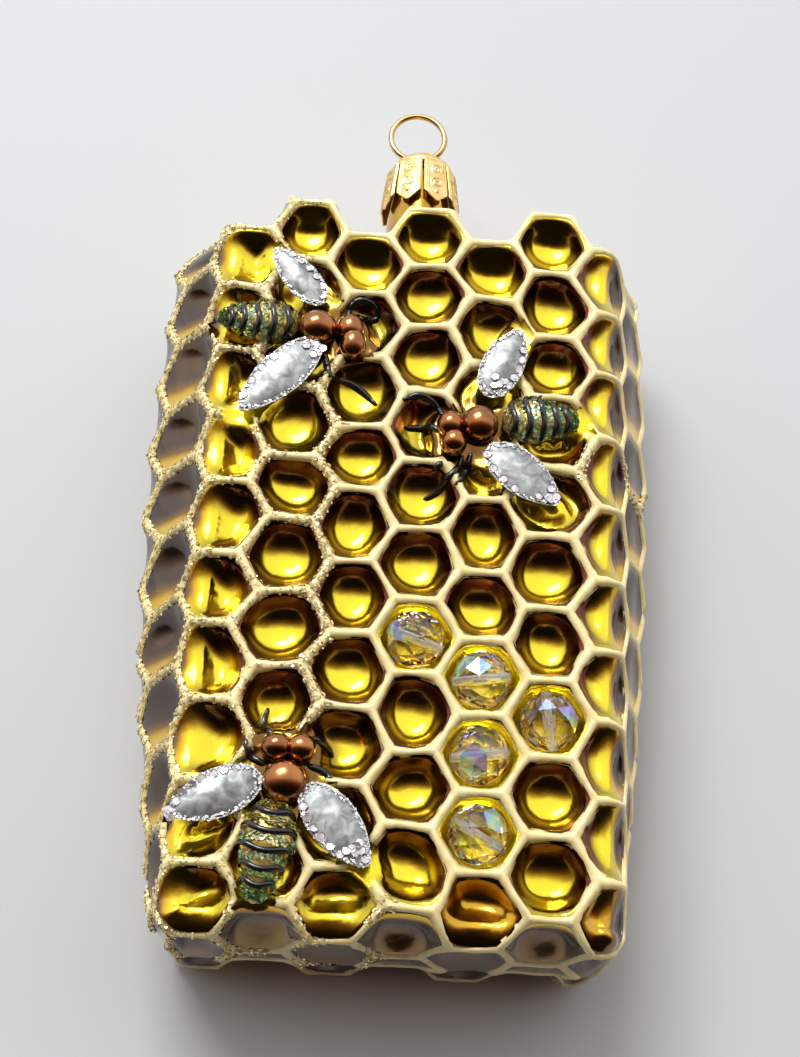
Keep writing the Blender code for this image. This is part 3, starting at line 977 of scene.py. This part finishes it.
def foil_material(name, dark, bright, roughness=0.22):
    """Metal foil whose colour changes from flake to flake."""
    made, tree, shader = new_material(name, metallic=0.55, roughness=roughness)
    place = node(tree, "ShaderNodeTexCoord")
    grains = node(tree, "ShaderNodeTexVoronoi", scale=1 / (0.35 * MM))
    tree.links.new(place.outputs["Object"], grains.inputs["Vector"])
    grey = node(tree, "ShaderNodeRGBToBW")
    tree.links.new(grains.outputs["Color"], grey.inputs[0])
    tree.links.new(ramp(tree, grey.outputs[0], (0.25, dark), (0.75, bright)), shader.inputs["Base Color"])
    return made


def tilted(normal, most):
    """A normal leaning by a random angle up to about this many radians."""
    lean = Vector((random.gauss(0, 1), random.gauss(0, 1), random.gauss(0, 1))).normalized()
    return (normal + lean * math.tan(random.uniform(0, most))).normalized()


def flake(middle, normal, lean, smallest, largest):
    """A flake's middle, leaning normal, radius (its limits are in mm) and turn, for flake_mesh."""
    return middle, tilted(normal, lean), random.uniform(smallest, largest) * MM, random.uniform(0, math.tau)


glitter_places = {"green": [], "gold": []}
for shape in BEES:
    for _ in range(ABDOMEN_FLAKES):
        share = random.uniform(-0.96, 0.97)
        angle = random.uniform(math.radians(5), math.radians(175))
        if min(abs(share - band) for band in BANDS) < BARE_BY_BAND:
            continue
        middle = abdomen_point(shape, share, angle, random.uniform(0.08, 0.3) * MM)
        normal = (middle - abdomen_frame(shape)[0]).normalized()
        colour = "green" if random.random() < GREEN_SHARE + GREEN_TOWARDS_TAIL * share else "gold"
        radius = random.uniform(0.15, 0.27) * MM
        glitter_places[colour].append((middle, tilted(normal, 0.5), radius, random.uniform(0, math.tau)))
foils = {"green": foil_material("green_glitter", (0.12, 0.42, 0.2), (0.65, 1.0, 0.7)),
         "gold": foil_material("gold_glitter", (0.65, 0.5, 0.15), (1.0, 0.95, 0.6))}
for colour, foil in foils.items():
    flakes_bm = flake_mesh(glitter_places[colour], FLAKE_SIDES)
    finish_piece(flakes_bm, f"abdomen_glitter_{colour}", foil, False)

# %% [markdown]
# ## Bees: wings
#
# A wing is a flat leaf of glass standing on the comb, painted silver, with a white glittering edge
# and iridescent hexagonal sequins glued along it. It starts as a disc with rings, is pulled into a leaf,
# domed, and given its thickness.

# %% Wings
WING_SEGMENTS = 40
WING_RINGS = (0.88, 0.66, 0.42, 0.2)
WING_THICKNESS = 0.5 * MM
WING_RISE = 1.0 * MM
WING_TIP_RISE = 0.35 * MM
WING_DOME = 0.55 * MM
WING_ROOT_WIDTH = 1.12
WING_NARROWING = 0.22
WING_POINTEDNESS = 0.3
SILVERS = ((0.32, (0.14, 0.15, 0.15)), (0.5, (0.27, 0.28, 0.28)), (0.66, (0.44, 0.46, 0.45)))
silver_material = patterned("silver_paint", (1.6 * MM, 6.0, 0.6), SILVERS, metallic=0.7, roughness=0.42)
roughened(silver_material, (0.5 * MM, 4.0), 0.03 * MM, 0.4)


def wing_point(wing, x, y):
    """A point of the wing's top from a unit disc: x from root (-1) to tip (1), y across."""
    root, tip, half_width = wing
    root = Vector((*root, 0)) * MM
    along = Vector((*tip, 0)) * MM - root
    across = UP.cross(along).normalized()
    share = (x + 1) / 2
    width = half_width * MM * (WING_ROOT_WIDTH - WING_NARROWING * share)
    width *= 1 - WING_POINTEDNESS * max(x, 0) ** 2
    height = DEPTH + WING_RISE + WING_TIP_RISE * share + WING_DOME * (1 - x * x - y * y)
    return LATTICE + root + along * share + across * y * width + UP * height


def wing_sheet(wing):
    bm = bmesh.new()
    bmesh.ops.create_circle(bm, cap_ends=True, segments=WING_SEGMENTS, radius=1)
    inner = list(bm.faces)
    reach = 1.0
    for ring in WING_RINGS:
        bmesh.ops.inset_individual(bm, faces=inner, thickness=0)
        for vert in inner[0].verts:
            vert.co *= ring / reach
        reach = ring
    bmesh.ops.poke(bm, faces=inner)
    for vert in bm.verts:
        vert.co = wing_point(wing, vert.co.x, vert.co.y)
    face_outward(bm)
    if sum(face.normal.z for face in bm.faces) < 0:
        bmesh.ops.reverse_faces(bm, faces=bm.faces)
    bmesh.ops.solidify(bm, geom=bm.faces, thickness=WING_THICKNESS)
    return bm


print("the first wing's tip:", [round(value / MM, 1) for value in wing_point(BEES[0]["wings"][0], 1, 0)])

# %% [markdown]
# ## Bees: edges and sequins of the wings
#
# Each wing has a line of white glitter round it, and sequins glued on in a row and in a cluster. The
# line is a fine uneven tube with loose flakes strewn on it. A sequin is a hexagon with a raised rim, which
# an inset makes.

# %% Wings, their edges and sequins
random.seed(23)
WING_EDGE_STEPS = 64
WING_EDGE_SIDES = 6
WING_EDGE_RADIUS = 0.11 * MM
WING_EDGE_UNEVENNESS = 0.7
WING_EDGE_LUMPS = 0.7 * MM
WING_FLAKES = 260
SEQUIN_SIDES = 6
SEQUIN_ROW_INSET = 0.8
SEQUIN_RIM = 0.11 * MM
SEQUIN_RIM_HEIGHT = 0.1 * MM
SEQUIN_THICKNESS = 0.06 * MM
edge_material = patterned("white_glitter_edge", (0.35 * MM,),
                          ((0.35, (0.5, 0.5, 0.5)), (0.6, (0.95, 0.95, 0.93))),
                          metallic=0.35, roughness=0.3)
roughened(edge_material, (0.3 * MM,), 0.1 * MM, 0.8)
white_foil = foil_material("white_glitter", (0.6, 0.62, 0.62), (1.0, 1.0, 1.0), 0.2)
sequin_material = patterned("iridescent_sequin", (0.9 * MM,),
                            ((0.35, (0.62, 0.6, 0.66)), (0.65, (0.93, 0.93, 0.95))),
                            metallic=0.75, roughness=0.12, thin_film_thickness=420.0, thin_film_ior=1.45)


def wing_edge(wing):
    bm = bmesh.new()
    angles = [math.tau * step / WING_EDGE_STEPS for step in range(WING_EDGE_STEPS + 1)]
    line = [wing_point(wing, math.cos(angle), math.sin(angle)) for angle in angles]
    lumps = [WING_EDGE_UNEVENNESS * noise.noise(point / WING_EDGE_LUMPS) for point in line]
    tube(bm, line, [WING_EDGE_RADIUS * (1 + lump) for lump in lumps], WING_EDGE_SIDES)
    face_outward(bm)
    return bm


def edge_glitter(wing):
    """Loose white flakes on and beside the line round a wing."""
    for _ in range(WING_FLAKES):
        angle = random.uniform(0, math.tau)
        reach = random.uniform(0.86, 1.02)
        middle = wing_point(wing, reach * math.cos(angle), reach * math.sin(angle))
        yield flake(middle + UP * random.uniform(0.05, 0.25) * MM, UP, 0.8, 0.12, 0.2)


def sequins_on(wing, edge, first, last, in_row, cluster, in_cluster):
    """A row near one edge, from first to last along the wing, and a loose cluster further along."""
    spots = []
    for count in range(in_row):
        x = first + (last - first) * count / (in_row - 1)
        spots.append((x, edge * SEQUIN_ROW_INSET * math.sqrt(1 - x * x)))
    for _ in range(in_cluster):
        spots.append((cluster + random.uniform(-0.2, 0.2), random.uniform(-0.5, 0.5)))
    for x, y in spots:
        yield flake(wing_point(wing, x, y) + UP * random.uniform(0.16, 0.3) * MM, UP, 0.3, 0.58, 0.68)


sequin_places = []
edge_flakes = []
for number, shape in enumerate(BEES, 1):
    for side, wing, sequins in zip("ab", shape["wings"], shape["sequins"]):
        finish_piece(wing_sheet(wing), f"bee_{number}_wing_{side}", silver_material)
        finish_piece(wing_edge(wing), f"bee_{number}_wing_{side}_edge", edge_material)
        edge_flakes += edge_glitter(wing)
        sequin_places += sequins_on(wing, *sequins)

sequin_bm = flake_mesh(sequin_places, SEQUIN_SIDES)
rims = list(sequin_bm.faces)
bmesh.ops.inset_individual(sequin_bm, faces=rims, thickness=SEQUIN_RIM, depth=-SEQUIN_RIM_HEIGHT)
bmesh.ops.solidify(sequin_bm, geom=sequin_bm.faces, thickness=SEQUIN_THICKNESS)
finish_piece(sequin_bm, "wing_sequins", sequin_material, False)
finish_piece(flake_mesh(edge_flakes, FLAKE_SIDES), "wing_glitter", white_foil, False)

# %% [markdown]
# ## Bees: feelers and legs
#
# The feelers and legs are only brush strokes of black enamel on the comb. Each line of points is eased
# into a curve, laid on the glass below it, and thickened, fuller in the middle and thin at its ends.

# %% Feelers and legs
STROKE_RADIUS = 0.42 * MM
STROKE_LIFT = 0.12 * MM
THIN_END = 0.55
FULLER_MIDDLE = 0.75
strokes_bm = bmesh.new()
for stroke in [points for shape in BEES for points in shape["strokes"]]:
    flat_line = eased([(x * MM, y * MM, 0) for x, y in stroke])
    line = [drape(point.x, point.y, STROKE_LIFT) for point in flat_line]
    fullness = [math.sin(math.pi * index / (len(line) - 1)) for index in range(len(line))]
    width = [STROKE_RADIUS * (THIN_END + FULLER_MIDDLE * full) for full in fullness]
    tube(strokes_bm, line, width)
face_outward(strokes_bm)
finish_piece(strokes_bm, "feelers_and_legs", black_material)

# %% [markdown]
# ## Glitter on the rims
#
# On the left part of the comb the wet enamel was dusted with champagne glitter: thickly along the outer
# edge and one zigzag of rims, thinly between. Flakes are dropped on the enamel's own faces.

# %% Rim glitter
random.seed(5)
RIM_FLAKES = 15000
GLITTER_ABOVE = 0.9 * PARTING_HEIGHT
ANYWHERE = 99
GLITTER_FIELDS = (
    (-ANYWHERE, -27.5, -ANYWHERE, ANYWHERE, 1.0),
    (-15.6, -10.8, -30, 24, 1.0),
    (-ANYWHERE, -15, 12, 27, 0.9),
    (-22, -17, -ANYWHERE, -49, 0.9),
    (-13.5, -9, -ANYWHERE, -49, 0.9),
    (-4.5, -1, -ANYWHERE, -49, 0.9),
    (21, ANYWHERE, 9, 14, 0.8),
    (-ANYWHERE, -16, -ANYWHERE, ANYWHERE, 0.22),
)
champagne_foil = foil_material("champagne_glitter", (0.8, 0.64, 0.26), (1.0, 0.93, 0.6))


def glitter_share(x, y):
    """How thickly the glitter lies at a place, in mm from the lattice's centre: the first field counts."""
    for left, right, bottom, top, share in GLITTER_FIELDS:
        if left < x < right and bottom < y < top:
            return share
    return 0.0


rim_faces = []
for face in enamel_top.faces:
    middle = face.calc_center_median()
    away = middle - LATTICE
    share = glitter_share(away.x / MM, away.y / MM)
    if share > 0 and middle.z > GLITTER_ABOVE and face.calc_area() > 0:
        rim_faces.append((face, share))
rim_places = []
while len(rim_places) < RIM_FLAKES:
    face, share = random.choice(rim_faces)
    if random.random() > share:
        continue
    weights = [random.random() for _ in face.verts]
    middle = sum((vert.co * weight for vert, weight in zip(face.verts, weights)), Vector()) / sum(weights)
    middle += face.normal * random.uniform(0.02, 0.2) * MM
    rim_places.append(flake(middle, face.normal, 0.7, 0.12, 0.22))
enamel_top.free()
finish_piece(flake_mesh(rim_places, FLAKE_SIDES), "rim_glitter", champagne_foil, False)

# %% [markdown]
# ## Cut-glass beads
#
# Each bead is fire-polished glass: flat facets in staggered rows round a bore. Its profile, bore
# included, is spun, and every other row is turned by half a facet. The glass has a thin film, and a patch of
# facets on each bead is coated in fixed rainbow colours, a painted sheen for the violet and green flashes.

# %% Beads
BEAD_TURNS = (75, 95, 10, 100, 55)
BEAD_TIPS = (14, -10, 18, 6, -16)
BEAD_RADIUS = 3.9 * MM
BEAD_BORE = 0.5 * MM
BEAD_FACETS = 9
BEAD_ROWS = 6
# Directions of each bead's painted rainbow sheen.
SHEEN_SIDES = ((-0.8, 0.1, 0.6), (-0.55, 0.3, 0.75), (0.65, 0.0, 0.7), (-0.35, -0.5, 0.8), (0.5, 0.4, 0.75))
SHEEN_SPREAD = 0.9
BORE_END = 1.6 * BEAD_BORE
crystal_material = patterned("cut_crystal", (3 * MM,), ((0.3, (1.0, 0.99, 0.94)), (0.7, (1, 1, 1))),
                             roughness=0.01, transmission_weight=1.0, ior=1.4,
                             thin_film_thickness=380.0, thin_film_ior=1.6)
# Painted sheen: fixed rainbow colours standing in for the coating's flashes.
RAINBOW_SHEEN = ((0.35, (0.5, 0.35, 1.0)), (0.48, (0.45, 0.6, 1.0)), (0.56, (0.35, 0.9, 0.65)),
           (0.68, (1.0, 0.65, 0.4)))
aurora_coating_and_sheen = patterned("aurora_coating_and_painted_sheen", (2.2 * MM, 1.0), RAINBOW_SHEEN,
                            metallic=0.35, roughness=0.05, transmission_weight=0.6, ior=1.4)
bore_material = patterned("drilled_bore", (0.5 * MM,), ((0.3, (0.85, 0.82, 0.78)), (0.7, (1, 1, 1))),
                          roughness=0.4, transmission_weight=0.75)


def cut_bead():
    bm = bmesh.new()
    start = math.asin(BORE_END / BEAD_RADIUS)
    angles = [start + (math.pi - 2 * start) * row / BEAD_ROWS for row in range(BEAD_ROWS + 1)]
    points = [Vector((BEAD_RADIUS * math.sin(a), 0, BEAD_RADIUS * math.cos(a))) for a in angles]
    points += [Vector((BEAD_BORE, 0, points[-1].z)), Vector((BEAD_BORE, 0, points[0].z))]
    verts = [bm.verts.new(point) for point in points]
    edges = [bm.edges.new((verts[i], verts[(i + 1) % len(verts)])) for i in range(len(verts))]
    bmesh.ops.spin(bm, geom=verts + edges, cent=(0, 0, 0), axis=(0, 0, 1), angle=math.tau,
                   steps=BEAD_FACETS, use_merge=True)
    bmesh.ops.remove_doubles(bm, verts=bm.verts, dist=0.01 * MM)
    half_facet = Matrix.Rotation(math.pi / BEAD_FACETS, 4, "Z")
    for row in range(1, BEAD_ROWS, 2):
        height = BEAD_RADIUS * math.cos(angles[row])
        ring = [v for v in bm.verts if abs(v.co.z - height) < 0.01 * MM and v.co.xy.length > BORE_END]
        bmesh.ops.transform(bm, matrix=half_facet, verts=ring)
    bmesh.ops.triangulate(bm, faces=bm.faces)
    face_outward(bm)
    return bm


for number, (turn, tip, sheen_side) in enumerate(zip(BEAD_TURNS, BEAD_TIPS, SHEEN_SIDES), 1):
    low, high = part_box(f"crystal_{number}")
    bead_bm = cut_bead()
    for face in bead_bm.faces:
        if all(vert.co.xy.length < (BEAD_BORE + BORE_END) / 2 for vert in face.verts):
            face.material_index = 2
    level = Matrix.Rotation(math.radians(turn), 4, "Z") @ Matrix.Rotation(math.radians(90 + tip), 4, "X")
    bmesh.ops.transform(bead_bm, matrix=Matrix.Translation((low + high) / 2) @ level, verts=bead_bm.verts)
    bead_bm.normal_update()
    # Facets facing the bead's sheen side get the painted rainbow sheen.
    for face in bead_bm.faces:
        if face.material_index == 0 and face.normal.dot(Vector(sheen_side).normalized()) > SHEEN_SPREAD:
            face.material_index = 1
    bead = finish_piece(bead_bm, f"crystal_bead_{number}", crystal_material, False,
                        (f"crystal_{number}",))
    bead.data.materials.append(aurora_coating_and_sheen)
    bead.data.materials.append(bore_material)

# %% [markdown]
# ## The stamped cap
#
# The cap is thin sheet metal, stamped with scrolls and rows of beading, and slit into eight pointed
# petals that grip the neck. Each petal is a grid: its relief is worked out flat, and it is then bent
# round the cap's profile. The dome above them is spun.

# %% Cap
CAP_PROFILE = ((58.5, 6.05), (62.8, 5.6), (66.3, 5.1), (67.9, 4.2), (69.1, 2.8), (69.9, 1.4), (70.2, 0.02))
CAP_AXIS = Vector((NECK_X, LATTICE.y, PARTING_HEIGHT))
CAP_STEPS = 64
CAP_SHEET = 0.25 * MM
CAP_UNEVENNESS = 0.05 * MM
PETALS = 8
PETAL_SHEET = 0.22 * MM
PETAL_COLUMNS = 34
PETAL_ROWS = 50
PETAL_TIP = 1.9
PETAL_TIP_ROUND = 0.08
DOME_FROM = 66.3
PETAL_TOP = DOME_FROM + 0.25
PETAL_LIFT = 0.02
SLIT_AT_TOP = 0.06
SLIT_WIDENS = 0.05
RELIEF = 0.26
BEADING_INSET = 0.34
BEADING_RIDGE = 0.2
BEADING_PITCH = 0.44
BEADING_LOW = 0.35
LINE_INSET = 0.68
LINE_RIDGE = 0.1
LINE_HEIGHT = 0.7
CURLS = ((2.0, 1), (4.6, -1))
CURLS_INSET = 0.75
CURL_START = 0.16
CURL_GROWTH = 0.085
CURL_PITCH = 0.53
CURL_RIDGE = 0.13
CURL_REACH = 1.0
DOT_DOWN = 6.3
DOT_RADIUS = 0.35
brass_material = patterned("stamped_gold", (1.5 * MM, 4.0),
                           ((0.3, (0.9, 0.58, 0.2)), (0.7, (1.0, 0.78, 0.36))),
                           metallic=1.0, roughness=0.3)
roughened(brass_material, (0.35 * MM, 3.0), 0.05 * MM, 0.5)


def cap_radius(height):
    for (low, first), (high, second) in zip(CAP_PROFILE, CAP_PROFILE[1:]):
        if height <= high:
            return first + (second - first) * (height - low) / (high - low)
    return 0.0


def ridge(distance, half_width):
    """A rounded ridge: 1 on its line, 0 at half_width from it."""
    return math.sqrt(max(1 - (distance / half_width) ** 2, 0))


def scroll(x, y, hand):
    """A stamped curl: a spiral ridge of two turns that opens outwards, in mm from the curl's middle."""
    reach = math.hypot(x, y)
    spiral = CURL_START + CURL_GROWTH * (math.atan2(y, x * hand) + math.pi)
    second_turn = ridge(reach - spiral - CURL_PITCH, CURL_RIDGE) if reach < CURL_REACH else 0
    return max(ridge(reach - spiral, CURL_RIDGE), second_turn)


def petal_relief(x, y, half_width):
    """Height of the stamping at x across and y down a petal, both in mm."""
    from_side = half_width - abs(x)
    beads = BEADING_LOW + (1 - BEADING_LOW) * abs(math.cos(y * math.pi / BEADING_PITCH))
    beading = ridge(from_side - BEADING_INSET, BEADING_RIDGE) * beads
    line = ridge(from_side - LINE_INSET, LINE_RIDGE) * LINE_HEIGHT
    curls = max(scroll(x, y - down, hand) for down, hand in CURLS) * (from_side > CURLS_INSET)
    return max(beading, line, curls, ridge(math.hypot(x, y - DOT_DOWN), DOT_RADIUS))


def petal(number):
    """One petal, bent round the cap's profile. Its lower end comes to a blunt point."""
    bm = bmesh.new()
    bmesh.ops.create_grid(bm, x_segments=PETAL_COLUMNS, y_segments=PETAL_ROWS, size=0.5)
    half_angle = math.pi / PETALS
    for vert in bm.verts:
        across = vert.co.x * 2
        down = 0.5 - vert.co.y
        end = CAP_PROFILE[0][0] + PETAL_TIP * max(abs(across) - PETAL_TIP_ROUND, 0)
        height = PETAL_TOP - (PETAL_TOP - end) * down
        radius = cap_radius(height)
        reach = half_angle * (1 - SLIT_AT_TOP - SLIT_WIDENS * down)
        angle = (2 * number + 1) * half_angle + across * reach
        raised = petal_relief(across * radius * reach, PETAL_TOP - height, radius * reach)
        out = (radius + PETAL_LIFT + RELIEF * raised) * MM
        vert.co = (math.sin(angle) * out, height * MM, math.cos(angle) * out)
    bmesh.ops.translate(bm, verts=bm.verts, vec=CAP_AXIS)
    face_outward(bm)
    outward = sum(face.normal.dot(face.calc_center_median() - CAP_AXIS) for face in bm.faces)
    if outward < 0:
        bmesh.ops.reverse_faces(bm, faces=bm.faces)
    bmesh.ops.solidify(bm, geom=bm.faces, thickness=PETAL_SHEET)
    return bm


cap_bm = turned([point for point in CAP_PROFILE if point[0] >= DOME_FROM], CAP_STEPS)
for vert in cap_bm.verts:
    dent = CAP_UNEVENNESS * noise.noise(vert.co / (0.5 * MM))
    vert.co += (vert.co - CAP_AXIS).normalized() * dent
bmesh.ops.solidify(cap_bm, geom=cap_bm.faces, thickness=CAP_SHEET)
for number in range(PETALS):
    join_into(cap_bm, petal(number))
finish_piece(cap_bm, "stamped_cap", brass_material, True, ("cap",))

# %% [markdown]
# ## The ring
#
# The hanging ring is plain drawn wire bent into a circle, whose ends spring inside the cap. A circle
# is spun round the ring's middle.

# %% Ring
RING_RADIUS = 4.25 * MM
RING_STEPS = 96
WIRE_RADIUS = 0.45 * MM
WIRE_SIDES = 16
wire_material = patterned("drawn_wire", (2 * MM, 4.0), ((0.3, (0.5, 0.33, 0.12)), (0.7, (0.72, 0.51, 0.22))),
                          metallic=1.0, roughness=0.24)
roughened(wire_material, (0.3 * MM,), 0.02 * MM, 0.3)
ring_bm = bmesh.new()
stand_up = Matrix.Translation((RING_RADIUS, 0, 0)) @ Matrix.Rotation(math.radians(90), 4, "X")
bmesh.ops.create_circle(ring_bm, segments=WIRE_SIDES, radius=WIRE_RADIUS, matrix=stand_up)
bmesh.ops.spin(ring_bm, geom=list(ring_bm.verts) + list(ring_bm.edges), cent=(0, 0, 0), axis=(0, 0, 1),
               angle=math.tau, steps=RING_STEPS, use_merge=True)
bmesh.ops.remove_doubles(ring_bm, verts=ring_bm.verts, dist=0.005 * MM)
face_outward(ring_bm)
bmesh.ops.translate(ring_bm, verts=ring_bm.verts, vec=ring_middle)
finish_piece(ring_bm, "hanging_ring", wire_material, True, ("ring",))

# %% [markdown]
# ## Camera, floor and light
#
# The camera looks down on the lying ornament from its lower end. The light is a broad bright sky over
# the ornament's head and a dark room at its feet, so each cup mirrors black along its upper wall and
# yellow on its floor.

# %% Camera
AIM = fold(-2.7 * MM, -0.2 * MM, 0)
VIEW_DISTANCE = 227.1 * MM
VIEW_DIRECTION = Vector((0.0376, 0.3936, -0.9185)).normalized()
VIEW_ROLL = math.radians(8.5)
LENS = 57.9
camera_data = bpy.data.cameras.new("camera")
camera_data.lens = LENS
camera_data.sensor_width = 36
camera_data.clip_start = 0.01
camera = bpy.data.objects.new("camera", camera_data)
camera.location = AIM - VIEW_DIRECTION * VIEW_DISTANCE
camera.rotation_euler = (VIEW_DIRECTION.to_track_quat("-Z", "Y").to_matrix().to_4x4()
                         @ Matrix.Rotation(VIEW_ROLL, 4, "Z")).to_euler()
scene.collection.objects.link(camera)
scene.camera = camera
print("camera at", [round(value / MM, 1) for value in camera.location], "mm")

# %% Floor
FLOOR_SIZE = 3.0
floor_bm = bmesh.new()
bmesh.ops.create_grid(floor_bm, x_segments=1, y_segments=1, size=FLOOR_SIZE / 2)
floor_mesh = bpy.data.meshes.new("floor")
floor_bm.to_mesh(floor_mesh)
floor_bm.free()
floor = bpy.data.objects.new("floor", floor_mesh)
scene.collection.objects.link(floor)
floor_material, tree, shader = new_material("pale_floor", base_color=(0.62, 0.64, 0.66), roughness=0.75)
floor_mesh.materials.append(floor_material)
floor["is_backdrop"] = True
print("the floor is", FLOOR_SIZE, "m wide")

# %% Light
SKY_STRENGTH = 1.12
SKY = ((0.25, (0.012, 0.01, 0.01)), (0.39, (0.12, 0.06, 0.05)), (0.48, (0.45, 0.32, 0.27)),
       (0.56, (1.0, 0.98, 0.95)), (1.0, (0.93, 0.95, 1.0)))
WINDOW_PLACE = Vector((-0.25, 0.55, 0.75))
WINDOW_WIDTH = 0.5
WINDOW_HEIGHT = 0.35
WINDOW_POWER = 7
world = bpy.data.worlds.new("studio")
scene.world = world
world.use_nodes = True
tree = world.node_tree
place = node(tree, "ShaderNodeTexCoord")
split = node(tree, "ShaderNodeSeparateXYZ")
tree.links.new(place.outputs["Generated"], split.inputs[0])
towards_head = node(tree, "ShaderNodeMath", operation="MULTIPLY_ADD")
tree.links.new(split.outputs["Y"], towards_head.inputs[0])
towards_head.inputs[1].default_value = 0.5
towards_head.inputs[2].default_value = 0.5
background = tree.nodes["Background"]
tree.links.new(ramp(tree, towards_head.outputs[0], *SKY), background.inputs["Color"])
background.inputs["Strength"].default_value = SKY_STRENGTH
scene.view_settings.view_transform = "Standard"

window_data = bpy.data.lights.new("window", "AREA")
window_data.shape = "RECTANGLE"
window_data.size = WINDOW_WIDTH
window_data.size_y = WINDOW_HEIGHT
window_data.energy = WINDOW_POWER
window = bpy.data.objects.new("window", window_data)
window.location = WINDOW_PLACE
window.rotation_euler = (-WINDOW_PLACE).to_track_quat("-Z", "Y").to_euler()
scene.collection.objects.link(window)
print("the window's light is", round(WINDOW_PLACE.length, 2), "m away")

# %% Measure and finish
visual_box = [list(corner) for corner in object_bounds()]
print("the visual model's box, in mm:", [[round(value / MM, 1) for value in c] for c in visual_box])
